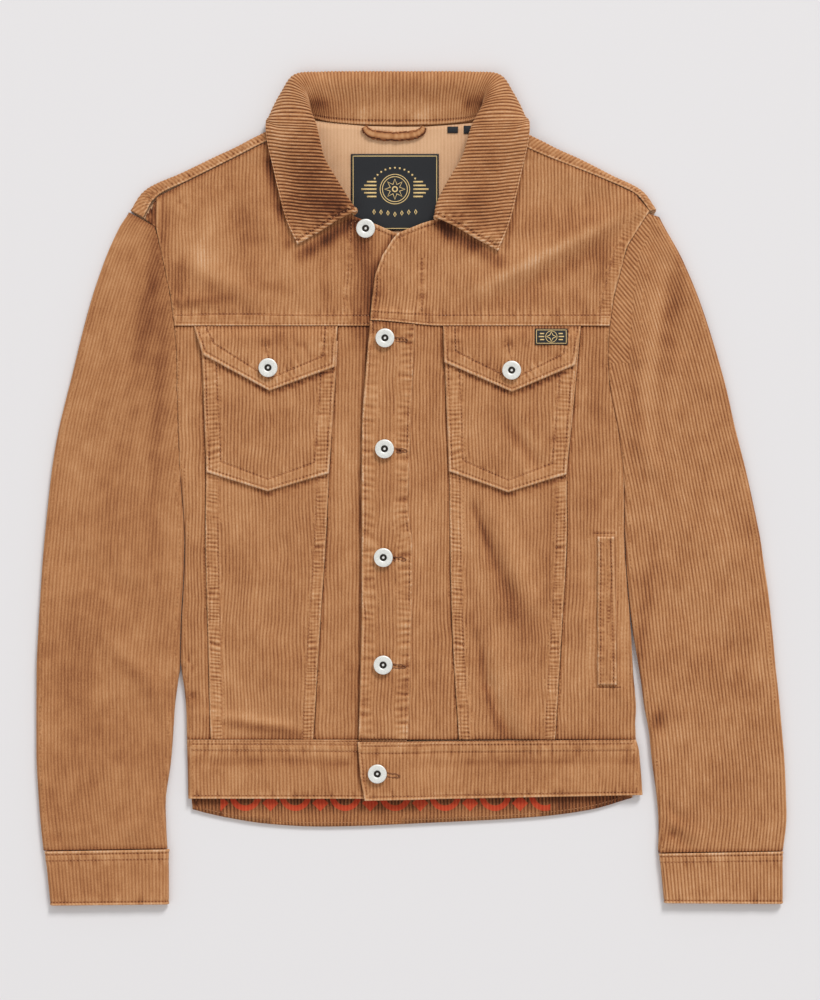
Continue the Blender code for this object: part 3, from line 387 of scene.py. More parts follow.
def sleeveGrain(column, seed, ease=0.0012, level=-100.0):
    # wales that follow the sleeve's outer side and straighten a little towards the body
    start = float(read(sleeveSides, level, column))

    def widen(b):
        return 1.0 - ease * np.abs(read(sleeveSides, b, column) - start)

    def wander(a, b):
        return 1.3 * drift(a, b, 44.0, 80.0, seed) + 0.45 * drift(a, b, 16.0, 26.0, seed + 1)

    def toPlan(a, b):
        return read(sleeveSides, b, column) + (a + wander(a, b)) * widen(b), b

    def toGrain(x, y):
        base = (x - read(sleeveSides, y, column)) / widen(y)
        a = np.array(base, float)
        for _ in range(5):
            a = base - wander(a, y)
        return a, np.array(y, float)
    return toPlan, toGrain


def planSurface(toPlan, height, side):
    # where a place on the cut piece lies in the laid garment, and which way its outer face looks
    def embed(a, b):
        x, y = toPlan(a, b)
        return np.stack([x, y, height(x, y)], -1), np.tile([0.0, 0.0, float(side)], (np.size(x), 1))
    return embed


def runAlong(line):
    return np.concatenate([[0.0], np.cumsum(np.hypot(*np.diff(line, axis=0).T))])


def drawBorder(edges, step):
    # places along the outline, four to a wale, with each one's way inwards and how far it rolls
    places, rolls = [], []
    for part in edges:
        line = part["grain"]
        run = runAlong(line)
        fine = np.linspace(0.0, run[-1], max(int(run[-1] / 0.1), 4))
        a, b = np.interp(fine, run, line[:, 0]), np.interp(fine, run, line[:, 1])
        column = np.floor(a / (cloth["wale"] / 4))
        kept = [0]
        for i in range(1, len(fine) - 4):
            gap = fine[i] - fine[kept[-1]]
            if gap >= step or (column[i] != column[i - 1] and gap > 0.3):
                kept.append(i)
        places += [(a[i], b[i]) for i in kept]
        rolls += [part["roll"](b[i]) if part["roll"] else 0.0 for i in kept]
    places, rolls = np.array(places), np.array(rolls, float)
    way = np.roll(places, -1, axis=0) - np.roll(places, 1, axis=0)
    way /= np.maximum(np.hypot(*way.T), 1e-9)[:, None]
    return places, rolls, np.stack([-way[:, 1], way[:, 0]], -1)


# What a seam's parts do to the cloth: rim is its bead, sink its groove, rung a pucker of a doubled band; with
# painted shade in hollows and painted highlights on crests
seamLooks = {
    "sinkReach": 4.0, "sinkShade": 0.42, "sinkShadeReach": 1.8, "glint": (0.6, 0.9), "rimWearAndLight": 0.5,
    "rimPress": 0.6, "rungTilt": 0.1, "rungDrift": 0.7, "rungHeight": 0.6, "rungShade": 0.8, "rungWearAndLight": 0.85,
    "bandWear": 0.16, "bandPress": (0.45, 0.7, 0.85), "grooveReach": 0.8, "rowShadeReach": 0.62,
    "puckerShade": 0.65, "puckerWearAndLight": 0.6, "besideRow": (1.5, 0.7, 0.3), "rowPress": (0.5, 1.4),
    "tintWearAndLight": 0.6, "tintShade": 0.5,
}


def relief(a, b, x, y, spec):
    # how far seams and stitching stand off the level cloth, and the marks that the colour reads: wear with
    # painted highlights, and painted shade
    looks = seamLooks
    offset, wear, shade, press, drop = (np.zeros(np.shape(a)) for _ in range(5))
    for number, part in enumerate(spec["edges"]):
        away, reach = nearLine(a, b, part["grain"])
        for radius, turn in ((part["lip"], 1.0), (part["radius"], part["roll"](b) if part["roll"] else 0.0)):
            if radius:
                short = np.clip(radius - away, 0.0, radius)
                drop = np.maximum(drop, turn * (radius - np.sqrt(np.maximum(radius ** 2 - short ** 2, 0.0))))
        bead = 1.0 - smooth(away, part["rimWidth"] - 0.7, part["rimWidth"] + 0.5)
        rimmed, sunk = part["rim"] > 0, part["sink"] > 0
        # the lip and the bead are lighter: wear and a painted highlight
        wornAndLit = 0.6 * swell(away, *looks["glint"]) + rimmed * looks["rimWearAndLight"] * bead
        offset += part["rim"] * bead - part["sink"] * (1.0 - smooth(away, 0.0, looks["sinkReach"]))
        wear += part["wear"] * uneven(reach, away, 0.7, 0.3, 6.0, 40.0, 11 + number) * wornAndLit
        # painted shade in the seam's groove
        shade += sunk * looks["sinkShade"] * swell(away, 0.0, looks["sinkShadeReach"])
        press = np.maximum(press, rimmed * looks["rimPress"] * bead)
    for number, band in enumerate(spec["strips"]):
        away, reach = nearLine(a, b, band["grain"])
        width, ladder, rung, seed = band["width"], band["ladder"], band["rung"], 31 + 7 * number
        cover = 1.0 - smooth(away, width - 0.5, width + 1.0)
        beat = (reach + looks["rungTilt"] * away) / rung
        beat += looks["rungDrift"] * drift(reach, away, 3.2 * rung, 40.0, seed)
        rungs = np.cos(math.tau * beat) * uneven(reach, away, 0.66, 0.5, 2.6 * rung, 8.0, seed + 1)
        rungs += 0.4 * drift(reach, away, 0.8 * rung, 4.0, seed + 2)
        within = smooth(away, 0.4, 2.2) * (1.0 - smooth(away, width - 2.4, width - 0.6))
        least, share, most = looks["bandPress"]
        offset += band["rise"] * cover + ladder * looks["rungHeight"] * rungs * within
        # painted shade between a doubled band's puckers, wear and a painted highlight on their crests
        shade += ladder * looks["rungShade"] * smooth(-rungs, 0.0, 1.0) * within
        wear += ladder * looks["rungWearAndLight"] * smooth(rungs, 0.0, 1.0) * within + looks["bandWear"] * cover
        press = np.maximum(press, min(least + share * ladder, most) * cover)
    for number, line in enumerate(spec["rows"]):
        away, reach = nearLine(a, b, line["grain"])
        beat = 0.5 - 0.5 * np.cos(math.tau * (reach - thread["shown"] / 2) / thread["pitch"])
        pull = drift(reach, away, 2.4, 50.0, 71 + number) * swell(away, 0.0, line["reach"])
        aside, width, share = looks["besideRow"]
        groove = swell(away, 0.0, looks["grooveReach"]) * (0.55 + 0.45 * beat)
        offset += line["pucker"] * pull - line["dent"] * groove
        # painted shade in the stitch holes and groove and in the puckers' hollows, painted highlight with
        # wear on their crests and on the cloth beside the row
        shade += line["dark"] * swell(away, 0.0, looks["rowShadeReach"]) * (0.3 + 0.75 * beat)
        shade += line["pucker"] * looks["puckerShade"] * smooth(-pull, 0.1, 0.7)
        wear += line["pucker"] * looks["puckerWearAndLight"] * smooth(pull, 0.1, 0.7)
        wear += share * swell(away, aside, width) * uneven(reach, away, 0.6, 0.4, 4.0, 30.0, 91 + number)
        press = np.maximum(press, looks["rowPress"][0] * swell(away, 0.0, looks["rowPress"][1]))
    for number, line in enumerate(spec["ridges"]):
        away, reach = nearLine(a, b, line["grain"])
        body = swell(away, 0.0, line["width"]) * uneven(reach, away, 0.75, 0.35, 9.0, 30.0, 111 + number)
        offset += line["rise"] * body
        # lighter above zero as painted highlight and wear, darker below zero as painted shade
        wear += max(line["wear"], 0.0) * body
        shade += max(-line["wear"], 0.0) * body
        press = np.maximum(press, line["press"] * body)
    for number, (atX, atY, reachX, reachY, rise, mark, flat) in enumerate(spec["lumps"]):
        body = np.exp(-(((x - atX) / reachX) ** 2) - ((y - atY) / reachY) ** 2)
        lumpy = drift(x, y, 3.6, 4.4, 131 + number)
        offset += rise * body * lumpy
        # a lighter or darker patch over the lump, and painted shade in its hollows
        wear += mark * body * (0.7 + 0.5 * lumpy)
        shade += body * abs(rise) * 0.5 * smooth(-lumpy, 0.2, 0.8)
        press = np.maximum(press, flat * body)
    for atX, atY, reachX, reachY, turn, amount in spec["tints"]:
        cosine, sine = math.cos(math.radians(turn)), math.sin(math.radians(turn))
        along, across = (x - atX) * cosine + (y - atY) * sine, (y - atY) * cosine - (x - atX) * sine
        body = np.exp(-((along / reachX) ** 2) - (across / reachY) ** 2)
        # painted light and shade of folds and shadows, and worn places
        wear += looks["tintWearAndLight"] * max(amount, 0.0) * body
        shade += looks["tintShade"] * max(-amount, 0.0) * body
    for hollow in spec["hollows"]:
        line = np.array(list(hollow["line"]) + [hollow["line"][0]], float)
        depth = inside(x, y, line[:-1]) * smooth(nearLine(x, y, line)[0], 0.0, 1.6)
        offset -= hollow["depth"] * depth
        # painted shade in the hollow
        shade += hollow["shade"] * depth * uneven(x, y, 0.7, 0.5, 3.0, 3.0, 151)
    return offset - drop, wear, shade, press


def pileOver(a, press, depth):
    # a wale's height about the cloth's level; pressed pile lies lower
    return cloth["pile"] * depth * (1.0 - cloth["pressed"] * press) * (waleShape(a) - cloth["level"])


threads = {}


def sew(spec, embed, lift, group):
    # one stitch after another along each row: its two ends in the cloth and its middle over it
    for line in spec["rows"]:
        if not line["sewn"]:
            continue
        path = line["grain"]
        run = runAlong(path)
        pitch, shown = line.get("pitch", thread["pitch"]), line.get("shown", thread["shown"])
        starts = np.arange(thread["first"], run[-1] - shown - thread["last"], pitch)
        ends = []
        for ahead, height in ((0.0, -thread["sunk"]), (shown / 2, thread["proud"]), (shown, -thread["sunk"])):
            a, b = np.interp(starts + ahead, run, path[:, 0]), np.interp(starts + ahead, run, path[:, 1])
            base, normal = embed(a, b)
            offset, _, _, press = relief(a, b, base[:, 0], base[:, 1], spec)
            crest = cloth["pile"] * (1.0 - cloth["pressed"] * press) * thread["overPile"]
            ends.append(base + normal * (offset + crest + height + lift)[:, None])
        threads.setdefault(group, []).append((np.array(ends), normal))


sheetMesh = {
    "lips": (0.2, 0.55, 1.05),                  # rings of points beside a plain edge
    "turns": (0.06, 0.2, 0.42, 0.7, 0.95),      # and round a rolled edge, as shares of its radius
    "ringKept": 0.85, "barely": 0.02, "pastRoll": 0.2, "besideRow": 1.8, "besideStrip": 0.6,
    "clearOf": 1.35, "insideClear": 3.0, "insidePile": 0.8, "pressedCrest": 0.45,
}


def closeSheet(
    name, spec, embed, wall, step=None, depth=1.0, lift=0.0, bothSides=False, fine=None, waleAt=None,
    contrast=1.0,
):
    # one closed sheet: a fine face with its wales, a plainer inner face and the wall between them
    step = step or cloth["rowStep"]
    edges, quarterWale, grid = spec["edges"], cloth["wale"] / 4, sheetMesh
    places, rolls, inward = drawBorder(edges, min(step, cloth["rowStep"]))
    outline = np.concatenate([part["grain"][:-1] for part in edges])
    ahead = np.roll(outline, -1, axis=0)
    turning = np.sum(outline[:, 0] * ahead[:, 1] - ahead[:, 0] * outline[:, 1])
    if turning < 0:
        raise ValueError(f"{name}: the outline has to run anticlockwise")
    radius = max([part["radius"] for part in edges] + [0.0])
    loop = np.vstack([outline, outline[:1]])

    def isFine(a, b):
        found = fine(a, b) if fine else np.zeros(np.shape(a), bool)
        for line in spec["rows"]:
            found = found | (nearLine(a, b, line["grain"])[0] < grid["besideRow"])
        for band in spec["strips"]:
            found = found | (nearLine(a, b, band["grain"])[0] < band["width"] + grid["besideStrip"])
        return found

    def fill(border, spaceA, spaceB, clearOf, rings, finer):
        # triangles over the outline: its border, the rings beside it and rows of points along the wales
        found = [border]
        for distance, only in rings:
            ring = border + inward * distance
            near = nearLine(*ring.T, loop)[0] > grid["ringKept"] * distance
            found.append(ring[near & inside(*ring.T, outline) & only])
        low, high = outline.min(axis=0), outline.max(axis=0)
        a = np.arange(math.ceil(low[0] / spaceA), math.floor(high[0] / spaceA) + 1) * spaceA
        share = cloth["fineShare"] if finer else 1
        b = np.arange(low[1] + spaceB / 2, high[1], spaceB / share)
        coarse = np.arange(len(b)) % share == 0
        a, coarse, b = np.tile(a, len(b)), np.repeat(coarse, len(a)), np.repeat(b, len(a))
        kept = inside(a, b, outline)
        a, b, coarse = a[kept], b[kept], coarse[kept]
        if finer:
            kept = coarse | isFine(a, b)
            a, b = a[kept], b[kept]
        kept = nearLine(a, b, loop)[0] > clearOf
        if radius and clearOf < radius:
            for part in edges:
                if part["roll"]:
                    away, _ = nearLine(a, b, part["grain"])
                    kept &= (part["roll"](b) <= grid["barely"]) | (away > radius + grid["pastRoll"])
        points = np.vstack(found + [np.stack([a[kept], b[kept]], -1)])
        made = delaunay_2d_cdt([Vector(point) for point in points], [], [list(range(len(border)))], 1, 1e-6)
        corners = np.array([tuple(point) for point in made[0]])
        where = {old: new for new, olds in enumerate(made[3]) for old in olds}
        return corners, [tuple(face) for face in made[2]], [where[i] for i in range(len(border))]

    turned = rolls > grid["barely"]
    lips = [(distance, ~turned) for distance in grid["lips"]]
    lips += [(radius * share, turned) for share in grid["turns"]] if radius else []
    finer = bool(spec["rows"] or spec["strips"] or fine)
    grain, faces, rim = fill(places, quarterWale, step, grid["clearOf"], lips, finer)
    base, normal = embed(grain[:, 0], grain[:, 1])
    offset, wear, shade, press = relief(grain[:, 0], grain[:, 1], base[:, 0], base[:, 1], spec)
    phase = waleAt(grain[:, 0], base) if waleAt else grain[:, 0]
    outer = base + normal * (offset + pileOver(phase, press, depth) + lift)[:, None]
    # crest to valley tone that the colour reads: painted shade in the wale valleys, as strong as the piece's
    # contrast
    strength = contrast(grain[:, 0], grain[:, 1]) if callable(contrast) else contrast
    crest = 0.5 + (waleShape(phase) - 0.5) * strength * (1.0 - grid["pressedCrest"] * press)

    innerBorder = places + inward * (rolls * wall)[:, None]
    spaces = (cloth["insideStep"], cloth["insideStep"], grid["insideClear"])
    if bothSides:
        spaces = (quarterWale, step, grid["clearOf"])
    innerGrain, innerFaces, innerRim = fill(innerBorder, *spaces, [], False)
    a, b = innerGrain.T
    innerBase, innerNormal = embed(a, b)
    fall = np.zeros(len(a))
    for part in edges:
        if part["roll"]:
            turn, small = part["roll"](b), part["radius"] - wall
            short = np.clip(small - (nearLine(a, b, part["grain"])[0] - wall * turn), 0.0, small)
            fall = np.maximum(fall, turn * (small - np.sqrt(np.maximum(small ** 2 - short ** 2, 0.0))))
    innerOffset, innerCrest, innerShade = -wall - fall, np.full(len(fall), 0.5), np.zeros(len(fall))
    if bothSides:
        innerCrest = waleShape(a)
        innerOffset = innerOffset - cloth["pile"] * grid["insidePile"] * (innerCrest - cloth["level"])
        innerShade += spec["innerShade"](a, b)
    inner = innerBase + innerNormal * innerOffset[:, None]

    start, count = len(outer), len(places)
    allFaces = list(faces) + [tuple(start + i for i in reversed(face)) for face in innerFaces]
    for i in range(count):
        j = (i + 1) % count
        if rim[i] != rim[j] and innerRim[i] != innerRim[j]:
            allFaces.append((rim[j], rim[i], start + innerRim[i], start + innerRim[j]))
    marks = {
        "pile": np.concatenate([crest, innerCrest]), "wear": np.concatenate([wear, np.zeros(len(inner))]),
        "shade": np.concatenate([shade, innerShade]),
    }
    made = meshPiece(name, np.vstack([outer, inner]), allFaces, marks, np.vstack([grain, innerGrain]))
    made["faceSplit"] = len(faces)
    size = outline.max(axis=0) - outline.min(axis=0)
    made["cut"] = (float(size[0]) * mm, float(size[1]) * mm, 0.5 * float(turning) * mm * mm)
    return made


def placed(name, data):
    made = bpy.data.objects.new(name, data)
    bpy.context.collection.objects.link(made)
    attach(made, "root")
    return made


def markPoints(data, marks):
    for mark, values in marks.items():
        values = np.asarray(values, np.float32)
        data.attributes.new(mark, "FLOAT", "POINT").data.foreach_set("value", values)


def meshPiece(name, points, faces, marks=None, grainPlace=None):
    # a mesh in the scene, none of it under the surface that the garment lies on
    points = np.array(points)
    points[:, 2] = np.maximum(points[:, 2], cloth["lowest"])
    data = bpy.data.meshes.new(name)
    data.from_pydata((points * mm).tolist(), [], faces)
    markPoints(data, marks or {})
    if grainPlace is not None:
        vectors = np.column_stack([grainPlace, np.zeros(len(grainPlace))]).astype(np.float32)
        data.attributes.new("grain", "FLOAT_VECTOR", "POINT").data.foreach_set("vector", vectors.ravel())
    data.update()
    data.shade_smooth()
    return placed(name, data)


def setInputs(tree, node, values):
    # links or sets a node's inputs
    for key, value in values.items():
        if isinstance(value, bpy.types.NodeSocket):
            tree.links.new(value, node.inputs[key])
        else:
            node.inputs[key].default_value = value


def addNode(tree, kind, inputs=(), **settings):
    node = tree.nodes.new(kind)
    for key, value in settings.items():
        setattr(node, key, value)
    setInputs(tree, node, dict(inputs))
    return node


def addMath(tree, operation, *values, clamp=False):
    return addNode(tree, "ShaderNodeMath", enumerate(values), operation=operation, use_clamp=clamp).outputs[0]


def addNoise(tree, place, scale, detail):
    # noise about its own mean
    noise = addNode(tree, "ShaderNodeTexNoise", {"Vector": place, "Scale": scale, "Detail": detail})
    return addMath(tree, "SUBTRACT", noise.outputs["Fac"], 0.5)


def newGroup(name, inputs, outputs):
    group = bpy.data.node_groups.new(name, "ShaderNodeTree")
    for way, sockets in (("INPUT", inputs), ("OUTPUT", outputs)):
        for socket in sockets:
            kind = "NodeSocketVector" if socket == "Grain" else "NodeSocketFloat"
            group.interface.new_socket(socket, in_out=way, socket_type=kind)
    place = addNode(group, "ShaderNodeTexCoord").outputs["Object"]
    return group, place, partial(addMath, group), group.nodes.new("NodeGroupOutput").inputs


napLooks = {
    "spots": {"blotch": (15.0, 3.0), "patch": (60.0, 2.0), "fuzz": (2600.0, 1.0)},      # scale, detail
    "grain": {  # stretch across and along the wales, detail
        "streak": (0.3, 0.04, 2.0), "broken": (0.32, 0.13, 2.0), "tuft": (1.1, 0.75, 3.0),
    },
    "shares": {"blotch": 0.25, "patch": 0.2, "streak": 0.21, "tuft": 0.4, "fuzz": 0.15},
    "middle": 0.49, "breaks": 2.2, "wear": 0.32, "shade": -0.46, "tuftHeight": 0.6, "fuzzHeight": 0.5,
}


def napGroup():
    # tone and height of brushed pile, from the marks that the mesh carries
    inputs, looks = ("Grain", "Pile", "Wear", "Shade", "Contrast"), napLooks
    group, place, maths, out = newGroup("nap", inputs, ("Tone", "Height"))
    given = group.nodes.new("NodeGroupInput").outputs
    noises = {name: addNoise(group, place, *spec) for name, spec in looks["spots"].items()}
    for name, (across, along, detail) in looks["grain"].items():
        stretch = {0: given["Grain"], 1: (across, along, 1.0)}
        drawn = addNode(group, "ShaderNodeVectorMath", stretch, operation="MULTIPLY").outputs[0]
        noises[name] = addNoise(group, drawn, 1.0, detail)
    broken = maths("MULTIPLY_ADD", noises["broken"], looks["breaks"], 1.0)
    strength = maths("MULTIPLY", given["Contrast"], broken)
    # crest to valley tone of the wales: painted shade in the valleys
    tone = maths("MULTIPLY_ADD", maths("SUBTRACT", given["Pile"], 0.5), strength, looks["middle"])
    for name, share in looks["shares"].items():
        tone = maths("MULTIPLY_ADD", noises[name], share, tone)
    # wear with painted highlights lightens the tone, painted shade darkens it
    tone = maths("MULTIPLY_ADD", given["Wear"], looks["wear"], tone)
    tone = maths("MULTIPLY_ADD", given["Shade"], looks["shade"], tone, clamp=True)
    fuzz = maths("MULTIPLY", noises["fuzz"], looks["fuzzHeight"])
    group.links.new(tone, out["Tone"])
    group.links.new(maths("MULTIPLY_ADD", noises["tuft"], looks["tuftHeight"], fuzz), out["Height"])
    return group


def srgb(red, green, blue):
    shares = [c / 255 for c in (red, green, blue)]
    return tuple(((c + 0.055) / 1.055) ** 2.4 if c > 0.0404 else c / 12.92 for c in shares) + (1.0,)


finish = {
    "face": {   # tone to colour on the pile side
        "stops": (
            (0.0, (72, 37, 22)), (0.25, (130, 77, 46)), (0.5, (175, 120, 77)), (0.74, (202, 151, 107)),
            (1.0, (222, 184, 150)),
        ),
        "contrast": 0.36, "sheen": 0.2, "bump": 0.35,
    },
    "wrong": {  # and on the plain woven side
        "stops": (
            (0.0, (168, 124, 88)), (0.35, (204, 160, 122)), (0.6, (218, 176, 138)), (1.0, (228, 192, 158)),
        ),
        "contrast": 0.3, "sheen": 0.08, "bump": 0.15,
    },
    "weave": {"pitch": 2.1, "dash": (0.35, 0.65), "depth": (0.4, 0.5)},
    "roughness": 0.92, "specular": 0.2, "sheenRoughness": 0.45, "sheenTint": (255, 226, 196),
    "clothBump": 0.0004, "plainBump": 0.0003, "plainShades": (0.86, 1.12),
}


def newMaterial(name):
    made = bpy.data.materials.new(name)
    made.use_nodes = True
    return made, made.node_tree, made.node_tree.nodes["Principled BSDF"]


def clothMaterial(name, nap, spec, woven=False, printed=None):
    made, tree, shader = newMaterial(name)
    maths = partial(addMath, tree)
    marks = {}
    for mark, out in (("grain", "Vector"), ("pile", "Fac"), ("wear", "Fac"), ("shade", "Fac")):
        node = addNode(tree, "ShaderNodeAttribute", attribute_name=mark, attribute_type="GEOMETRY")
        marks[mark] = node.outputs[out]
    if woven:       # faint dashed lines where the pile is tied in
        weave = finish["weave"]
        parts = addNode(tree, "ShaderNodeSeparateXYZ", {0: marks["grain"]}).outputs
        across = maths("COSINE", maths("MULTIPLY", parts[0], math.tau / cloth["wale"]))
        along = maths("SINE", maths("MULTIPLY", parts[1], math.tau / weave["pitch"]))
        dashes = maths("MULTIPLY_ADD", along, *weave["dash"])
        marks["pile"] = maths("MULTIPLY_ADD", maths("MULTIPLY", across, dashes), *weave["depth"])
    inputs = {mark.capitalize(): output for mark, output in marks.items()}
    wornAndLit = addNode(tree, "ShaderNodeGroup", node_tree=nap)
    setInputs(tree, wornAndLit, {**inputs, "Contrast": spec["contrast"]})
    ramp = addNode(tree, "ShaderNodeValToRGB", {"Fac": wornAndLit.outputs["Tone"]})
    while len(ramp.color_ramp.elements) < len(spec["stops"]):
        ramp.color_ramp.elements.new(0.5)
    for element, (at, colour) in zip(ramp.color_ramp.elements, spec["stops"]):
        element.position = at
        element.color = srgb(*colour)
    colour = ramp.outputs["Color"]
    if printed:
        ink = {0: printed["clothShare"], 6: srgb(*printed["colour"]), 7: colour}
        dull = addNode(tree, "ShaderNodeMix", ink, data_type="RGBA").outputs[2]
        mask = addNode(tree, "ShaderNodeGroup", node_tree=printed["mask"]).outputs[0]
        colour = addNode(tree, "ShaderNodeMix", {0: mask, 6: colour, 7: dull}, data_type="RGBA").outputs[2]
    bumps = {"Height": wornAndLit.outputs["Height"], "Strength": spec["bump"], "Distance": finish["clothBump"]}
    setInputs(tree, shader, {
        "Base Color": colour, "Normal": addNode(tree, "ShaderNodeBump", bumps).outputs["Normal"],
        "Roughness": finish["roughness"], "Specular IOR Level": finish["specular"],
        "Sheen Weight": spec["sheen"], "Sheen Roughness": finish["sheenRoughness"],
        "Sheen Tint": srgb(*finish["sheenTint"]),
    })
    return made


def plainMaterial(name, colour, roughness, metallic=0.0, bump=0.0, scale=1500.0):
    made, tree, shader = newMaterial(name)
    place = addNode(tree, "ShaderNodeTexCoord").outputs["Object"]
    noises = {"Vector": place, "Scale": scale, "Detail": 2.0}
    noise = addNode(tree, "ShaderNodeTexNoise", noises).outputs["Fac"]
    dark, light = (srgb(*(min(255, c * share) for c in colour)) for share in finish["plainShades"])
    mixed = addNode(tree, "ShaderNodeMix", {0: noise, 6: dark, 7: light}, data_type="RGBA").outputs[2]
    setInputs(tree, shader, {"Base Color": mixed, "Roughness": roughness, "Metallic": metallic})
    if bump:
        bumps = {"Height": noise, "Strength": bump, "Distance": finish["plainBump"]}
        setInputs(tree, shader, {"Normal": addNode(tree, "ShaderNodeBump", bumps).outputs["Normal"]})
    return made


hemPrint = {
    "colour": (208, 62, 36), "clothShare": 0.3, "cover": 0.9, "pitch": 46.0, "left": -176.0, "right": 128.0,
    "head": -286.0, "foot": -299.5, "above": 14.0, "drop": 4.0, "ring": 12.0, "stroke": 2.6, "lozenge": 7.5,
}


def printGroup(spec):
    # a row of rings and lozenges, one after the other along the inside of the hem
    group, place, maths, out = newGroup("hemPrint", (), ("Mask",))
    parts = addNode(group, "ShaderNodeSeparateXYZ", {0: place}).outputs
    x, y = (maths("DIVIDE", part, mm) for part in parts[:2])
    run = maths("FRACT", maths("DIVIDE", maths("SUBTRACT", x, spec["left"]), spec["pitch"]))
    local = maths("MULTIPLY", maths("SUBTRACT", run, 0.5), spec["pitch"])
    drop = maths("SUBTRACT", y, spec["head"] + spec["drop"])
    squares = [maths("MULTIPLY", value, value) for value in (local, drop)]
    off = maths("ABSOLUTE", maths("SUBTRACT", maths("SQRT", maths("ADD", *squares)), spec["ring"]))
    side = maths("SUBTRACT", spec["pitch"] / 2, maths("ABSOLUTE", local))
    corner = maths("ADD", side, maths("ABSOLUTE", maths("ADD", drop, spec["lozenge"])))
    ring, lozenge = maths("LESS_THAN", off, spec["stroke"]), maths("LESS_THAN", corner, spec["lozenge"])
    shape, top = maths("MAXIMUM", ring, lozenge), spec["head"] + spec["above"]
    for value, low, high in ((x, spec["left"], spec["right"]), (y, spec["foot"], top)):
        shape = maths("MULTIPLY", shape, maths("GREATER_THAN", value, low))
        shape = maths("MULTIPLY", shape, maths("LESS_THAN", value, high))
    group.links.new(maths("MULTIPLY", shape, spec["cover"]), out["Mask"])
    return group


nap = napGroup()
faceCloth = clothMaterial("corduroyFace", nap, finish["face"])
wrongSide = clothMaterial("corduroyWrongSide", nap, finish["wrong"], woven=True)
hemPrint["mask"] = printGroup(hemPrint)
printedCloth = clothMaterial("corduroyPrinted", nap, finish["face"], printed=hemPrint)
dressed = []


def dress(made, nodes, innerFace=wrongSide):
    # gives a piece its cloth, hides the solids that it stands for and drops its cut
    made.data.materials.append(faceCloth)
    made.data.materials.append(innerFace)
    sides = np.array([polygon.loop_total for polygon in made.data.polygons])
    kinds = (np.arange(len(sides)) >= made["faceSplit"]) & (sides == 3)
    made.data.polygons.foreach_set("material_index", kinds.astype(np.int32))
    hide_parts(*nodes)
    del made["cut"], made["faceSplit"]
    dressed.append(made)


def lay(part, toGrain, gap=10.0):
    # a line on the plan, as a line on the cut piece
    line = np.array(part["line"], float)
    dense = [line[0]]
    for start, end in zip(line[:-1], line[1:]):
        count = max(int(math.dist(start, end) / gap), 1)
        dense += [start + (end - start) * (i + 1) / count for i in range(count)]
    dense = np.array(dense)
    part["grain"] = np.stack(toGrain(dense[:, 0], dense[:, 1]), -1) if toGrain else dense


def makeSpec(edges, strips=(), rows=(), ridges=(), lumps=(), tinted=(), hollows=(), toGrain=None):
    spec = {
        "edges": list(edges), "strips": list(strips), "rows": list(rows), "ridges": list(ridges),
        "lumps": list(lumps), "tints": list(tinted), "hollows": list(hollows),
    }
    for part in spec["edges"] + spec["strips"] + spec["rows"] + spec["ridges"]:
        lay(part, toGrain)
    return spec


underLift = (cloth["level"] - 1.0) * cloth["pile"]      # crests of the under side are level with the solid


def flatPiece(
    name, node, edges, height, side=1, grain=None, wall=None, group="front", innerFace=wrongSide, **more,
):
    # a piece that lies on the plan at a height, cut from one cloth
    toPlan, toGrain = grain or uprightGrain(1.9, 3 * len(dressed) + 5)
    parts = [more.pop(key, ()) for key in ("strips", "rows", "ridges", "lumps")]
    spec = makeSpec(edges, *parts, tints if side > 0 else (), more.pop("hollows", ()), toGrain)
    spec["innerShade"] = more.pop("innerShade", None)
    lift = 0.0 if side > 0 else underLift
    embed = planSurface(toPlan, height, side)
    made = closeSheet(name, spec, embed, wall or cloth["wall"], lift=lift, **more)
    sew(spec, embed, lift, group)
    dress(made, [node], innerFace)


half = cloth["seamGap"] / 2
hemLine = seams["hem"] + half
rightYoke = seams["yoke"] - half


def seamEdge(column, shift, high=None):
    # a seam of the front, up to its yoke
    x = float(read(frontSeams, seams["yoke"], column)) + shift
    return followed(hemLine, float(yokeLine(x)) - half if high is None else high, column, frontSeams, shift)


def sideEdge(column, shift, low=hemLine, high=rightYoke):
    return followed(low, high, column, bodySides, shift)


def panelEdges(left, right, leftMore, rightMore, head=()):
    # anticlockwise: foot, right side, head, left side
    return [
        edge([left[0], right[0]], sink=0.8, wear=0.0), edge(right, **rightMore),
        edge([right[-1]] + list(head) + [left[-1]], sink=0.8, wear=0.0), edge(left[::-1], **leftMore),
    ]


def felled(line, first, second):
    # the two rows of a felled seam, at their distances from it
    rows = ((first, 0.1, 0.5), (second, 0.15, 0.6))
    return [row(shifted(line, away), pucker=pucker, dark=dark) for away, pucker, dark in rows]


sideRoll = {"roll": rolled, "radius": stack["frontRoll"], "wear": 0.15}
under = {"sink": 0.7, "wear": 0.0}
lapped = {"wear": 0.7, "rim": 0.3}

patches = {
    # foot left, point, foot right, head left, head right
    "pocketRight": ((-188.6, 15.4), (-132.2, -2.2), (-75.9, 14.5), (-193.4, 136.0), (-67.6, 136.0)),
    "pocketLeft": ((34.3, 16.3), (88.9, -3.1), (142.6, 13.6), (29.9, 136.0), (152.6, 136.0)),
    "flapRight": ((-192.1, 123.6), (-130.5, 90.2), (-70.7, 112.2), (-200.1, 149.7), (-68.0, 149.7)),
    "flapLeft": ((29.9, 116.6), (92.4, 89.3), (150.4, 114.0), (29.0, 149.7), (155.8, 149.7)),
}
patch = {"rim": 0.45, "rimWidth": 2.6, "lip": cloth["thickLip"]}


def underShade(corners, dark):
    # the shadow just under a pocket's or a flap's foot
    return ridge(shifted(corners[:3], 0.6, -2.2), 1.9, -0.1, -dark)


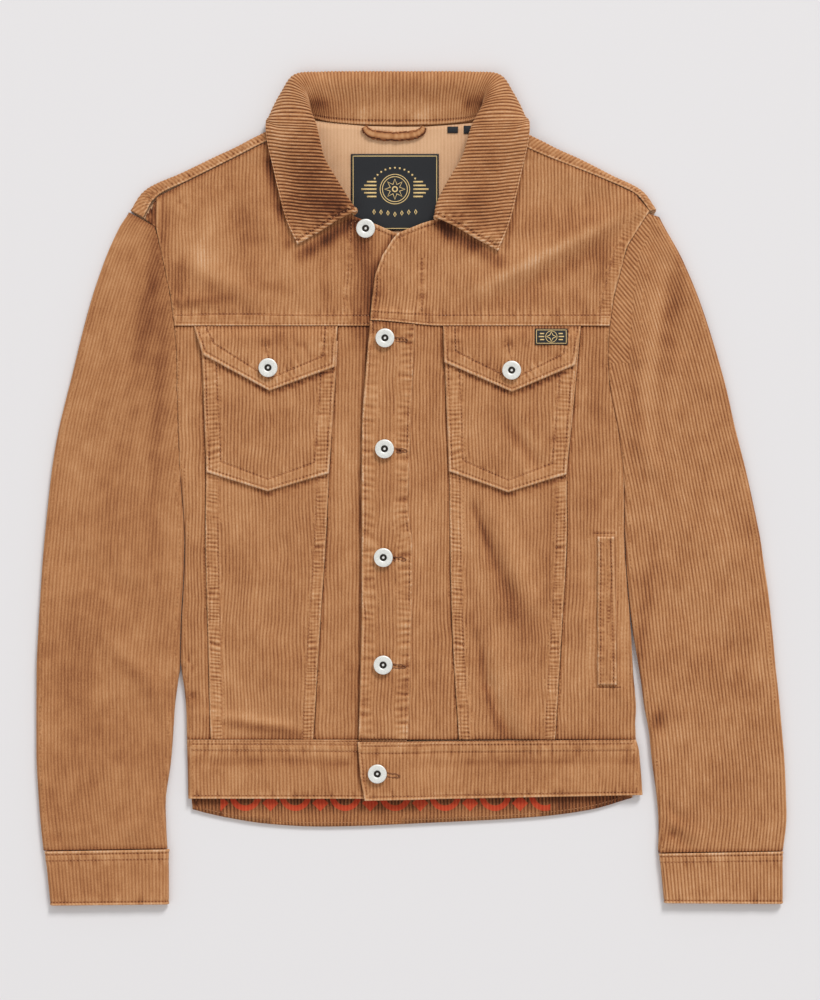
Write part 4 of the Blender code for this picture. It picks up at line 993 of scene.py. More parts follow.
print("front panels")
rightOuter, rightInner = seamEdge(1, 0, rightYoke), seamEdge(2, 0, rightYoke)
leftInner, leftOuter = seamEdge(4, 0), seamEdge(5, 0)
flatPiece(
    "frontSideRight", "front_side_right",
    panelEdges(sideEdge(1, half), seamEdge(1, -half, rightYoke), sideRoll, under), frontTop,
    lumps=[(-206, -160, 8, 10, 1.0, 0.1, 0.4), (-203, -192, 8, 7, 1.2, -0.2, 0.4)], contrast=0.9,
)
flatPiece(
    "frontMidRight", "front_mid_right",
    panelEdges(seamEdge(1, half, rightYoke), seamEdge(2, -half, rightYoke), lapped, lapped), frontTop,
    strips=[strip(rightOuter, 12.8, ladder=0.72), strip(rightInner, 11.5, ladder=0.72)],
    rows=felled(rightOuter, 2.4, 11.6) + felled(rightInner, -2.4, -10.4), contrast=0.85,
    ridges=[underShade(patches["pocketRight"], 0.6)],
)
underlapEdge = [(seams["underlap"], float(y)) for y in np.linspace(hemLine, rightYoke, 12)]
flatPiece(
    "frontCentreRight", "front_centre_right",
    panelEdges(seamEdge(2, half, rightYoke), underlapEdge, under, {}), frontTop,
    # painted shade beside the placket's edge
    ridges=[ridge(shifted(followed(hemLine, rightYoke, 3, frontSeams), -0.8), 1.9, -0.2, -0.55)],
    contrast=0.85,
)


def besideYoke(shift, *places):
    return [(x, float(yokeLine(x)) + shift) for x in places]


centreHead = besideYoke(-half, 20.0, 8.0, -6.0, -20.0, -32.0)
flatPiece(
    "frontCentreLeft", "front_centre_left",
    panelEdges(seamEdge(3, half), seamEdge(4, -half), {"wear": 1.0}, under, centreHead), lappedTop,
)
flatPiece(
    "frontMidLeft", "front_mid_left",
    panelEdges(seamEdge(4, half), seamEdge(5, -half), lapped, lapped), frontTop,
    strips=[strip(leftInner, 11.6, ladder=0.72), strip(leftOuter, 11.6, ladder=0.72)],
    rows=felled(leftInner, 2.4, 9.6) + felled(leftOuter, -2.4, -9.6), contrast=0.95,
    ridges=[underShade(patches["pocketLeft"], 0.7)],
)
flatPiece(
    "frontSideLeft", "front_side_left",
    panelEdges(seamEdge(5, half), sideEdge(2, -half), under, sideRoll), frontTop,
    ridges=[
        ridge([(163, -50), (164, -176)], 5.0, 0.0, 0.25), ridge([(196, -50), (198, -176)], 4.0, 0.0, 0.2),
    ],
    strips=[strip([(top, -48), (foot, -178)], 4.0, 0.0, 0.3, 5.2) for top, foot in ((166, 166), (194, 196))],
    rows=[
        row([(left, y), (right, y)], pitch=0.95, shown=0.8, dark=1.3, pucker=0.2)
        for left, right, y in ((168.6, 186.9, -40.3), (171.0, 192.0, -182.2))
    ],
)

print("front yokes")
yokeFoot = seams["yoke"] + half


def armhole(column, low, shift):
    heights = [low] + [entry[0] for entry in bodySides if entry[0] > low + 5]
    return [(float(read(bodySides, y, column)) + shift, y) for y in heights]


turned = {"wear": 1.0, "rim": 0.5, "rimWidth": 3.4}
rightArm = armhole(1, yokeFoot, 0.15) + [rightYokeHead[0]]
rightHem = [rightArm[0], (seams["underlap"], yokeFoot)]
flatPiece(
    "frontYokeRight", "front_yoke_right",
    [
        edge(rightHem, **lapped), edge([rightHem[1], rightYokeHead[-1]]),
        edge(list(rightYokeHead[::-1][:-6]), **turned), edge(list(rightYokeHead[:7][::-1]), **under),
        edge([rightYokeHead[0]] + rightArm[::-1][1:], wear=0.5),
    ], frontTop,
    strips=[strip(rightHem, 10.2, 0.7, 0.15)],
    rows=[
        row([(-216, 152.6), (-130, 152.2), (seams["underlap"], 152.2)], pucker=0.15),
        row([(-217, 160.0), (-160, 161.2), (-100, 159.6), (seams["underlap"], 159.8)], pucker=0.4, reach=7.0),
        row([(-62, 163), (-58, 200), (-55, 248)], dent=0.15, pucker=0.35, dark=0.35),
        row(shifted(rightYokeHead[10:], -1.6, -3.6), pucker=0.4, reach=5.0, dark=0.9),
    ],
    # a raised ridge up the armhole with a painted highlight, painted shadows beside the lapel and under the
    # collar's leaf, and painted shade in a crease
    ridges=[
        ridge([(-221, 168), (-226.4, 194), (-231.6, 214), (-233.6, 232), (-232.8, 266)], 1.5, 0.9, 0.9, 0.6),
        ridge([(-37, 152), (-35, 178), (-32, 198), (-24, 219), (-12, 236)], 4.5, -0.2, -0.9, 0.0),
        ridge([(-102, 214), (-82, 227), (-62, 241), (-50, 248)], 6.5, 0.0, -1.3, 0.0),
        ridge([(-134, 328), (-129, 290), (-113, 226)], 5.0, 0.0, -0.9, 0.0),
    ],
    hollows=[{
        "line": [(-233.8, 268), (-234.6, 250), (-234.2, 230), (-237, 238), (-248, 249.5), (-240, 262)],
        "depth": 1.3, "shade": 0.8,
    }],
    lumps=[
        (-214, 172, 9, 5, 1.6, 0.2, 0.5), (-196, 274, 40, 6, 0.5, 0.0, 0.2),
        (-212, 262, 14, 12, 0.5, 0.35, 0.6),
    ],
    contrast=0.8,
)
leftArm = armhole(2, yokeFoot, -0.15) + [leftYokeHead[-1]]
leftHem = besideYoke(half, -37.8, -28.0, -16.0, -4.0, 8.0, 20.0, 30.0) + [leftArm[0]]
flatPiece(
    "frontYokeLeft", "front_yoke_left",
    [
        edge(leftHem, **lapped), edge(leftArm, wear=0.9, rim=0.35, rimWidth=1.8),
        edge(list(leftYokeHead[::-1][:7]), **under), edge(list(leftYokeHead[:8][::-1]), **turned),
        edge(list(lapelEdge[::-1][:-1]) + [leftHem[0]], wear=1.0, rim=0.4),
    ], lappedTop,
    strips=[strip(leftHem, 10.2, 0.7, 0.15), strip(leftArm, 11.0, 0.4, 0.45, 3.2)],
    rows=[
        row(shifted(leftHem, 0, 2.2), pucker=0.15),
        row([(-36, 163.2), (0, 161.0), (28, 160.0), (80, 159.8), (184, 159.8)], pucker=0.4, reach=7.0),
        row([(9.4, 164), (9.6, 190), (9.8, 212)], dent=0.3, pucker=0.45, reach=6.0),
        row(shifted(lapelEdge, 2.8, -0.8), dent=0.3, pucker=0.35, reach=6.0, dark=0.6),
        row(shifted(leftYokeHead[:4], 1.2, -3.6), pucker=0.4, reach=5.0, dark=0.9),
        row(shifted(leftArm[:-2], -10.4), dent=0.3, pucker=0.3, dark=0.4),
    ],
    # painted shadow under the collar's leaf and painted shade in a crease
    ridges=[
        ridge([(80, 210), (58, 223), (34, 237), (26, 246)], 7.0, 0.0, -1.35, 0.0),
        ridge([(104, 318), (99, 280), (88, 222)], 3.0, 0.0, -0.5, 0.0),
    ],
    lumps=[(108, 304, 14, 7, 0.3, 0.5, 0.5), (-18, 214, 8, 16, 0.5, 0.3, 0.4)],
)

print("waistband fronts")
bandRoll = {"roll": always, "radius": stack["frontRoll"] + stack["bandRise"], "wear": 0.15}
bandHead = seams["hem"] - half
rightSide = sideEdge(1, half, seams["waistFoot"], bandHead)
rightFoot = (seams["underlap"], seams["waistFoot"])
rightHead = [(seams["underlap"], bandHead), rightSide[-1]]
flatPiece(
    "waistbandFrontRight", "waistband_front_right",
    [
        edge([rightSide[0], rightFoot], wear=0.8, rim=0.35), edge([rightFoot, rightHead[0]]),
        edge(rightHead, **lapped), edge(rightSide[::-1], **bandRoll),
    ], bandTop, wall=cloth["bandWall"],
    strips=[strip(rightHead, 9.5, 0.5, 0.2)],
    rows=[
        row([(-204, -231.6), (-100, -231.8), (-6, -232.2)], pucker=0.15, dent=0.5, dark=1.2),
        row([(-204, -234.4), (-100, -234.8), (-6, -235.4)], pucker=0.15),
        row([(-204, -240.4), (-100, -240.8), (-6, -242.4)], pucker=0.4, reach=6.0, dark=0.7),
        row([(-203, -282.2), (-100, -282.4), (-6, -282.8)], pucker=0.4, reach=5.0),
    ],
    # painted shade in a crease and beside the edge of the lapped left band
    ridges=[
        ridge([(-204, -251.5), (-120, -250), (-60, -252)], 3.0, -0.5, -0.35, 0.2),
        ridge([(-48.5, -233), (-46.5, -263), (-42, -285)], 3.4, -0.3, -0.9, 0.0),
    ],
    lumps=[(-198, -248, 9, 2.6, 1.6, -0.4, 0.3), (-150, -262, 40, 10, 0.25, 0.1, 0.2)], contrast=0.75,
)
leftSide = sideEdge(2, -half, seams["waistFoot"] + 3.4, bandHead)
leftBandEdge = [(-43.0, -286.6), (-47.4, -263.1), (-49.4, -232.6)]
leftHead = [leftSide[-1], leftBandEdge[-1]]
flatPiece(
    "waistbandFrontLeft", "waistband_front_left",
    [
        edge([leftBandEdge[0], leftSide[0]], wear=0.8, rim=0.35), edge(leftSide, **bandRoll),
        edge(leftHead, **lapped), edge(leftBandEdge[::-1], wear=1.0, rim=0.4),
    ], lappedBandTop, wall=cloth["bandWall"],
    strips=[strip(leftHead, 9.5, 0.5, 0.2)],
    rows=[
        row([(-47, -233.4), (20, -232.4), (204, -231.4)], pucker=0.15, dent=0.5, dark=1.2),
        row([(-46.4, -236.4), (20, -235.4), (204, -234.2)], pucker=0.15),
        row([(-46, -243.4), (20, -242.2), (206, -240.0)], pucker=0.4, reach=6.0, dark=0.7),
        row([(-40.6, -283.4), (80, -281.0), (210, -278.8)], pucker=0.4, reach=5.0),
        row([(-46.6, -240), (-44.4, -263), (-40.8, -281)], pucker=0.25, reach=5.0, dark=0.6),
    ],
    ridges=[ridge([(0, -252.5), (90, -251), (206, -249.5)], 3.0, -0.4, -0.3, 0.2)],
    lumps=[(-20, -270, 16, 12, 0.4, 0.1, 0.2), (150, -262, 50, 10, 0.25, 0.1, 0.2)], contrast=0.8,
)

print("pockets, flaps, placket and welt")


def inset(corners, amount, bottom=None):
    # the same outline's sides and foot, moved in by a width
    up = bottom or amount
    moves = ((amount, up * 0.95), (0.0, up * 1.06), (-amount, up * 0.95), (amount, 0.0), (-amount, 0.0))
    left, point, right, headLeft, headRight = ((x + dx, y + dy) for (x, y), (dx, dy) in zip(corners, moves))
    return [headLeft, left, point, right, headRight]


def patchEdges(corners, foot, side, sink):
    return [
        edge(corners[:3], wear=foot, **patch), edge([corners[2], corners[4]], wear=side, **patch),
        edge([corners[4], corners[3]], wear=0.0, sink=sink),
        edge([corners[3], corners[0]], wear=side, **patch),
    ]


for side in ("Right", "Left"):
    corners = patches[f"pocket{side}"]
    flatPiece(
        f"pocket{side}", f"pocket_{side.lower()}", patchEdges(corners, 0.9, 0.8, 0.0), pocketTop,
        wall=cloth["patchWall"], contrast=1.0,
        strips=[strip([corners[i], corners[j]], 14.0, 0.2, 0.5, 4.2) for i, j in ((3, 0), (2, 4))]
        + [strip(corners[:3], 11.0, 0.2, 0.12)],
        rows=[row(inset(corners, 2.9), pucker=0.12), row(inset(corners, 13.2, 10.6), pucker=0.3, dark=0.8)],
        ridges=[underShade(patches[f"flap{side}"], 0.9)],
    )
    corners = patches[f"flap{side}"]
    middle, high = corners[1][0], 134.0
    flatPiece(
        f"flap{side}", f"pocket_flap_{side.lower()}", patchEdges(corners, 1.0, 0.9, 0.6), flapTop,
        wall=cloth["patchWall"], contrast=1.0, strips=[strip(corners[:3], 11.0, 0.25, 0.15)],
        rows=[
            row(inset(corners, 2.9), pucker=0.12), row(inset(corners, 10.8, 10.6), pucker=0.4, reach=7.0),
            row(
                [(middle - 1, high - 14), (middle - 4, high)], dent=0.3, pucker=0.5, reach=5.0, dark=0.8,
                pitch=1.1, shown=0.8,
            ),
        ],
        ridges=[ridge([(middle - 44, 140), (middle - 10, 132), (middle + 30, 141)], 9.0, -0.4, -0.1)],
        lumps=[(middle + 28, 128, 22, 12, 0.5, 0.1, 0.3)],
    )
placketEnds = (seams["hem"] + 1.0, seams["yoke"] - 0.6)
placketLeft = followed(*placketEnds, 3, frontSeams, 0.2)
placketRight = followed(*placketEnds, 1, placketSide)
for line in (placketLeft, placketRight):
    line[-1] = (line[-1][0], float(yokeLine(line[-1][0])) - 0.6)
frontButtons = (
    (-42.2, 239.5), (-24.4, 138.6), (-24.8, 36.8), (-25.9, -63.0), (-26.1, -161.6), (-31.4, -261.6),
)
flapButtons = ((-131.7, 111.3), (91.9, 109.0))
onPlacket = frontButtons[1:5]
# a buttonhole's slit: a dent with painted shade in the opening, no thread
slit = {"dent": 0.6, "pucker": 0.5, "reach": 5.0, "dark": 1.5, "sewn": False}
slits = [row([(x + 8.0, y - 0.6), (x + 14.0, y - 1.6), (x + 19.5, y - 1.2)], **slit) for x, y in onPlacket]
flatPiece(
    "placketStrip", "placket",
    [
        edge([placketLeft[0], placketRight[0]], wear=0.0, sink=0.6),
        edge(placketRight, lip=1.6, wear=0.5, rim=0.2),
        edge([placketRight[-1], placketLeft[-1]], wear=0.0, sink=0.6),
        edge(placketLeft[::-1], wear=1.0, rim=0.4, rimWidth=2.4),
    ], placketTop, wall=cloth["patchWall"],
    strips=[strip(placketLeft, 13.5, 0.1, 0.3, 7.6), strip(placketRight, 14.5, 0.1, 0.32, 6.8)],
    rows=[
        row(shifted(placketLeft, 2.8), pucker=0.4, reach=7.0, dark=0.6),
        row(shifted(placketRight, -2.6), pucker=0.5, reach=8.0, dark=0.7),
    ] + slits,
    lumps=[(x + 6, y + 2, 16, 15, 0.55, 0.06, 0.3) for x, y in onPlacket],
)
welt = {"foot": -180.0, "head": -43.8, "inner": 171.0, "outer": 186.4, "lean": 2.4}
weltLeft = [(welt["inner"], welt["foot"]), (welt["inner"], welt["head"])]
weltRight = [(welt["outer"] + welt["lean"], welt["foot"]), (welt["outer"], welt["head"])]
flatPiece(
    "welt", "welt_left",
    [
        edge([weltLeft[0], weltRight[0]], wear=0.8, **patch), edge(weltRight, wear=0.9, **patch),
        edge([weltRight[-1], weltLeft[-1]], wear=0.8, **patch), edge(weltLeft[::-1], wear=0.9, **patch),
    ], pocketTop, wall=cloth["patchWall"],
    strips=[strip(weltLeft, 8.0, 0.0, 0.25, 5.0)],
    rows=[row(shifted(weltLeft, 3.0), pucker=0.3), row(shifted(weltRight, -3.0), pucker=0.3)],
)

print("sleeves")
# contrast is the painted shade in the wale valleys: stronger on the left sleeve, whose wales stand more
# across the light
sleeves = {
    "Right": {"outer": 1, "inner": 2, "foot": (-332.9, -331.0), "head": (254.8, 241.8), "contrast": 0.56},
    "Left": {"outer": 4, "inner": 3, "foot": (-333.2, -334.9), "head": (250.4, 253.6), "contrast": 1.12},
}
sleeveLumps = {
    "Right": [(-330, -322, 7, 4, 1.2, -0.3, 0.2), (-236, -314, 10, 12, 0.5, 0.0, 0.2)],
    "Left": [(240, -316, 10, 10, 0.8, -0.1, 0.2), (226, -212, 5, 8, 0.8, -0.4, 0.2)],
}
cap = {"low": 116.0, "turn": 40.0, "heights": (120, 176, 214, 238), "ridge": (200, 204, 209, 220)}


def capPhase(a, base):
    # beside the left armhole a strip of cloth has its wales slantwise, up to a soft ridge
    x, y = base[:, 0], base[:, 1]
    turn = math.radians(cap["turn"])
    slanted = (x - cap["ridge"][0]) * math.cos(turn) + (y - cap["heights"][1]) * math.sin(turn)
    return np.where((x < np.interp(y, cap["heights"], cap["ridge"])) & (y > cap["low"]), slanted, a)


def nearCap(a, b):
    return (b > cap["low"]) & (a + read(sleeveSides, b, 4) < np.interp(b, cap["heights"], cap["ridge"]) + 4.0)


armLines = {"Right": rightArm, "Left": leftArm}
meeting = (-66.0, -24.0)       # from here up the sleeve lies against the body


def sleeveInner(side, column, low, high):
    # down the sleeve along its own side, and where it meets the body along the body's edge
    line = np.array(followed(low, high, column, sleeveSides))
    arm, sign, body = np.array(armLines[side]), -1 if side == "Right" else 1, 1 if side == "Right" else 2
    y = line[:, 1]
    beside = np.where(y < yokeFoot, read(bodySides, y, body), np.interp(y, arm[:, 1], arm[:, 0]))
    share = smooth(y, *meeting)
    line[:, 0] += (beside + sign * cloth["seamGap"] - line[:, 0]) * share
    return [tuple(point) for point in line]


layers = (("Upper", frontTop, 1, "frontRoll"), ("Under", backFoot, -1, "backRoll"))
for side, spec in sleeves.items():
    for layer, height, face, roll in layers:
        upper, left = layer == "Upper", side == "Left"
        outer = followed(spec["foot"][0], spec["head"][0], spec["outer"], sleeveSides)
        inner = sleeveInner(side, spec["inner"], spec["foot"][1], spec["head"][1])
        full = {"roll": always, "radius": stack[roll], "wear": 0.1}
        seam = {"roll": rolled, "radius": stack[roll], "wear": 0.0, "lip": 1.3 if upper else cloth["lip"]}
        ends = [(outer, full), (inner, seam)]
        (start, startMore), (end, endMore) = ends[::-1] if left else ends
        slanted = {"step": 3.3, "waleAt": capPhase, "fine": nearCap} if upper and left else {}
        flatPiece(
            f"sleeve{layer}{side}", f"sleeve_{layer.lower()}_{side.lower()}",
            [
                edge([start[0], end[0]], **under), edge(end, **endMore), edge([end[-1], start[-1]], **under),
                edge(start[::-1], **startMore),
            ], height, face, sleeveGrain(spec["outer"], 41 + face), contrast=spec["contrast"],
            lumps=sleeveLumps[side], **{"step": 4.2 if upper else 10.0, **slanted},
        )

print("back")
backHead = seams["backYoke"] - half
backRoll = {"roll": rolled, "radius": stack["backRoll"], "wear": 0.1}
backSeams = {"right": (-110.0, -150.0), "left": (92.0, 124.0)}
backPanels = (
    ("backSideRight", "back_side_right", None, backSeams["right"]),
    ("backCentre", "back_centre", backSeams["right"], backSeams["left"]),
    ("backSideLeft", "back_side_left", backSeams["left"], None),
)


def bandHeadAt(x):
    # the seam over the back's waistband, which runs parallel to the hem
    return float(read(backHem, x)) + seams["backBand"] + half


for name, node, left, right in backPanels:
    lines = []
    for ends, column, sign in ((left, 1, 1), (right, 2, -1)):
        line = []
        for share in np.linspace(0.0, 1.0, 30):
            guess = seams["hem"] + (backHead - seams["hem"]) * share
            straight = None if ends is None else ends[0] + (ends[1] - ends[0]) * share
            foot = bandHeadAt(float(read(bodySides, guess, column)) if ends is None else straight)
            y = foot + (backHead - foot) * share
            x = float(read(bodySides, y, column)) if ends is None else straight
            line.append((x + sign * half, y))
        lines.append(line)
    foot = [(float(x), bandHeadAt(x)) for x in np.linspace(lines[0][0][0], lines[1][0][0], 14)]
    foot[0], foot[-1] = lines[0][0], lines[1][0]
    centre = name == "backCentre"
    flatPiece(
        name, node,
        [
            edge(foot, wear=0.2), edge(lines[1], **(lapped if centre else {} if right else backRoll)),
            edge([lines[1][-1], lines[0][-1]], wear=0.2),
            edge(lines[0][::-1], **(lapped if centre else {} if left else backRoll)),
        ], backFoot, -1, step=cloth["underStep"], group="back",
        strips=[strip(lines[0], 11.0, ladder=0.4), strip(lines[1], 11.0, ladder=0.4)] if centre else (),
        rows=felled(lines[0], 2.4, 9.6) + felled(lines[1], -2.4, -9.6) if centre else (),
    )

print("back yoke")


def nearestOn(line, x, y):
    # the nearest place on a line, and whether the point lies to its left
    best, left = np.full(np.shape(x), 1e6), np.zeros(np.shape(x), bool)
    footX, footY = np.array(x, float), np.array(y, float)
    for (ax, ay), (bx, by) in zip(line[:-1], line[1:]):
        dx, dy = bx - ax, by - ay
        share = np.clip(((x - ax) * dx + (y - ay) * dy) / (dx * dx + dy * dy), 0.0, 1.0)
        px, py = ax + share * dx, ay + share * dy
        away = np.hypot(x - px, y - py)
        closer = away < best
        best, left = np.where(closer, away, best), np.where(closer, (y - py) * dx - (x - px) * dy > 0, left)
        footX, footY = np.where(closer, px, footX), np.where(closer, py, footY)
    return best, left, footX, footY


def turnOver(table):
    # the line where the cloth starts to turn over the shoulder, and its front seam on the cut piece
    places = curve(table, 40)
    way = places[:, :2] - places[:, 2:]
    way /= np.hypot(*way.T)[:, None]
    line = places[:, :2] - way * stack["frontRoll"]
    away, _, footX, footY = nearestOn(line, places[:, 2], places[:, 3])
    radius = (frontTop(footX, footY) - backFoot(footX, footY)) / 2
    out = np.stack([footX - places[:, 2], footY - places[:, 3]], -1) / away[:, None]
    far = np.stack([footX, footY], -1) + out * (math.pi * radius + away - 0.1)[:, None]
    return {"line": line, "far": [tuple(point) for point in far]}


shoulders = {"right": turnOver(rightShoulder), "left": turnOver(leftShoulder)}


def beyondFold(x, y):
    # how far a place on the cut yoke lies past a shoulder's turn, the foot of that way and its direction
    past, footX, footY = np.full(np.shape(x), -1.0), np.array(x, float), np.array(y, float)
    for side, chosen in (("right", x < -60), ("left", x > 40)):
        away, left, nearX, nearY = nearestOn(shoulders[side]["line"], x, y)
        past = np.where(chosen, np.where(left, away, -away), past)
        footX, footY = np.where(chosen, nearX, footX), np.where(chosen, nearY, footY)
    length = np.maximum(np.hypot(x - footX, y - footY), 1e-6)
    return past, footX, footY, (x - footX) / length, (y - footY) / length


def yokeEmbed(a, b):
    past, footX, footY, wayX, wayY = beyondFold(a, b)
    turned = past > 0
    x, y = np.where(turned, footX, a), np.where(turned, footY, b)
    low, high = backFoot(x, y), frontTop(x, y)
    radius = (high - low) / 2
    arc = math.pi * radius
    angle = np.where(turned, np.clip(past / radius, 0.0, math.pi), 0.0)
    reach = np.where(turned, np.where(past < arc, radius * np.sin(angle), arc - past), 0.0)
    place = np.stack([x + wayX * reach, y + wayY * reach, low + radius * (1.0 - np.cos(angle))], -1)
    return place, np.stack([wayX * np.sin(angle), wayY * np.sin(angle), -np.cos(angle)], -1)


yokeStart = seams["backYoke"] + half
rightTurn, leftTurn = ([tuple(point) for point in shoulders[side]["line"]] for side in ("right", "left"))
rightFar, leftFar = shoulders["right"]["far"], shoulders["left"]["far"]
arms = {
    column: [(float(read(bodySides, y, column)) + shift, float(y)) for y in np.linspace(yokeStart, high, 8)]
    for column, shift, high in ((1, half, 236.0), (2, -half, 238.0))
}
yokeSpec = makeSpec(
    [
        edge([arms[1][0], arms[2][0]], wear=0.2), edge(arms[2] + [leftTurn[-1]], wear=0.2),
        edge([leftTurn[-1], leftFar[-1]], wear=0.2), edge(leftFar[::-1], wear=0.7, rim=0.25),
        edge([leftFar[0], leftTurn[0], backNeck[-1]], wear=0.0), edge(list(backNeck[::-1]), wear=0.0),
        edge([backNeck[0], rightTurn[-1], rightFar[-1]], wear=0.0), edge(rightFar[::-1], wear=0.7, rim=0.25),
        edge([rightFar[0], rightTurn[0]], wear=0.2), edge([rightTurn[0]] + arms[1][::-1], wear=0.2),
    ],
    strips=[strip(rightFar, 11.0, 0.0, 0.2, 4.0), strip(leftFar, 9.0, 0.0, 0.2, 4.0)],
    rows=[
        row(shifted(rightFar, 1.2, -2.2), dark=0.8), row(shifted(leftFar, -1.2, -2.2), dark=0.8),
    ] + [row([(arms[1][0][0] + 3, yokeStart + up), (arms[2][0][0] - 3, yokeStart + up)]) for up in (3, 10)],
)


def nearFold(a, b):
    return beyondFold(a, b)[0] > -1.5


made = closeSheet(
    "backYokeCloth", yokeSpec, yokeEmbed, cloth["wall"], step=6.0, lift=underLift, fine=nearFold,
)
sew(yokeSpec, yokeEmbed, underLift, "back")
dress(made, ["back_yoke"])

print("waistband back")
backBandEnds = {"foot": (-201.6, 203.6), "head": (-206.8, 206.0)}
bandLines = [
    [(float(x), float(read(backHem, x)) + rise) for x in np.linspace(*backBandEnds[end], 40)]
    for end, rise in (("foot", 0.0), ("head", seams["backBand"] - half))
]
flatBand = {"roll": always, "radius": stack["backRoll"], "wear": 0.1}


def hemShade(x, y):
    # painted shadow where the front lies over the inside of the hem
    return 0.22 + 0.6 * smooth(y, -303.0, -286.0)


def hemInside(x, y):
    return backFoot(x, y) + cloth["bandWall"] + 0.3


def level(x, y):
    return x, y


flatPiece(
    "waistbandBack", "waistband_back",
    [
        edge(bandLines[0], wear=0.6, rim=0.3), edge([bandLines[0][-1], bandLines[1][-1]], **flatBand),
        edge(bandLines[1][::-1], wear=0.3), edge([bandLines[1][0], bandLines[0][0]], **flatBand),
    ], backFoot, -1, wall=cloth["bandWall"], step=7.0, bothSides=True, innerFace=printedCloth, group="back",
    rows=[row(shifted(line[1:-1], 0, up)) for line, up in zip(bandLines, (3.0, -3.0))], innerShade=hemShade,
)
hemRow = makeSpec([], rows=[row(shifted(bandLines[0][1:-1], 0, 3.4), dent=0.0, pucker=0.0)])
sew(hemRow, planSurface(level, hemInside, 1), 0.0, "hem")

print("cuffs")
cuffs = {
    # outer foot, outer head, inner head, inner foot
    "Right": ((-332.7, -383.4), (-337.6, -333.6), (-223.4, -331.6), (-223.4, -382.3)),
    "Left": ((342.0, -381.8), (342.0, -333.6), (228.2, -335.6), (232.6, -381.2)),
}
cuffSize = {
    "roll": 3.9, "tall": 50.0, "rows": 12, "stations": 400, "lift": -0.28,
    # contrast: painted shade in the wale valleys, stronger on the left, as on the sleeves
    "contrast": {"Right": 0.6, "Left": 1.15},
}


def gridSurface(across, along, places):
    # reads a grid of places in the laid garment at any place on the cut piece, with its outward way
    ways = unit(np.cross(np.gradient(places, across, axis=0), np.gradient(places, along, axis=1)))

    def embed(a, b):
        i = np.clip(np.searchsorted(across, a, "right") - 1, 0, len(across) - 2)
        j = np.clip(np.searchsorted(along, b, "right") - 1, 0, len(along) - 2)
        s = np.clip((a - across[i]) / (across[i + 1] - across[i]), 0, 1)[:, None]
        t = np.clip((b - along[j]) / (along[j + 1] - along[j]), 0, 1)[:, None]
        found = []
        for table in (places, ways):
            low = table[i, j] * (1 - s) + table[i + 1, j] * s
            high = table[i, j + 1] * (1 - s) + table[i + 1, j + 1] * s
            found.append(low * (1 - t) + high * t)
        return found[0], unit(found[1])
    return embed


def facingUp(surface, a, b):
    # the same surface with the way that looks up at this place
    sign = 1.0 if surface(np.array([a]), np.array([b]))[1][0, 2] > 0 else -1.0

    def embed(a, b):
        point, way = surface(a, b)
        return point, way * sign
    return embed


def cuffSurface(corners):
    # round the wrist from the middle of the under side, and up the arm
    roll, foot = cuffSize["roll"], (corners[0], corners[3])
    straight = (math.dist(*foot) + math.dist(*corners[1:3])) / 2 - 2 * roll
    turns = math.pi * roll
    stops = np.linspace(0, 2 * straight + 2 * turns, cuffSize["stations"])
    heights = np.linspace(0, cuffSize["tall"], cuffSize["rows"])
    run = stops - straight / 2
    passed = [run < limit for limit in (0, turns, turns + straight, 2 * turns + straight)]
    up, down = -quarter - run / roll, quarter - (run - turns - straight) / roll
    z = np.select(passed, [0.0, roll + roll * np.sin(up), 2 * roll, roll + roll * np.sin(down)], 0.0)
    columns = []
    for share in np.linspace(0, 1, len(heights)):
        start, end = (
            np.array(low) + (np.array(high) - low) * share for low, high in (corners[:2], corners[:1:-1])
        )
        length = math.dist(start, end)
        stretch = (length - 2 * roll) / straight
        reach = np.select(passed, [
            roll - run * stretch, roll + roll * np.cos(up), roll + (run - turns) * stretch,
            length - roll + roll * np.cos(down),
        ], length - roll - (run - 2 * turns - straight) * stretch)
        columns.append(np.column_stack([start + (end - start) / length * reach[:, None], z]))
    return stops, heights, np.stack(columns, 1)


for side, corners in cuffs.items():
    stops, heights, grid = cuffSurface(corners if side == "Right" else corners[::-1])
    embed = facingUp(gridSurface(stops, heights, grid), stops[-1] / 2, 25.0)
    first, end, tall = 0.15, float(stops[-1]) - 0.15, cuffSize["tall"]
    foot, head, *sewn = ([(first, y), (end, y)] for y in (0.0, tall, 3.0, 41.2, 47.2))
    spec = makeSpec(
        [
            edge(foot, wear=0.8, rim=0.3), edge([foot[1], head[1]], wear=0.2),
            edge(head[::-1], wear=0.9, rim=0.45), edge([head[0], foot[0]], wear=0.2),
        ],
        strips=[strip(head[::-1], 9.5, 0.35, 0.2)],
        rows=[
            row(sewn[0], pucker=0.4, reach=6.0), row(sewn[2], pucker=0.12),
            row(sewn[1], pucker=0.4, reach=6.0, dark=0.8),
        ],
    )
    lift, contrast = cuffSize["lift"], cuffSize["contrast"][side]
    made = closeSheet(f"cuff{side}", spec, embed, cloth["cuffWall"], lift=lift, contrast=contrast)
    sew(spec, embed, lift, "cuffs")
    dress(made, [f"cuff_{side.lower()}"], faceCloth)

print("collar")
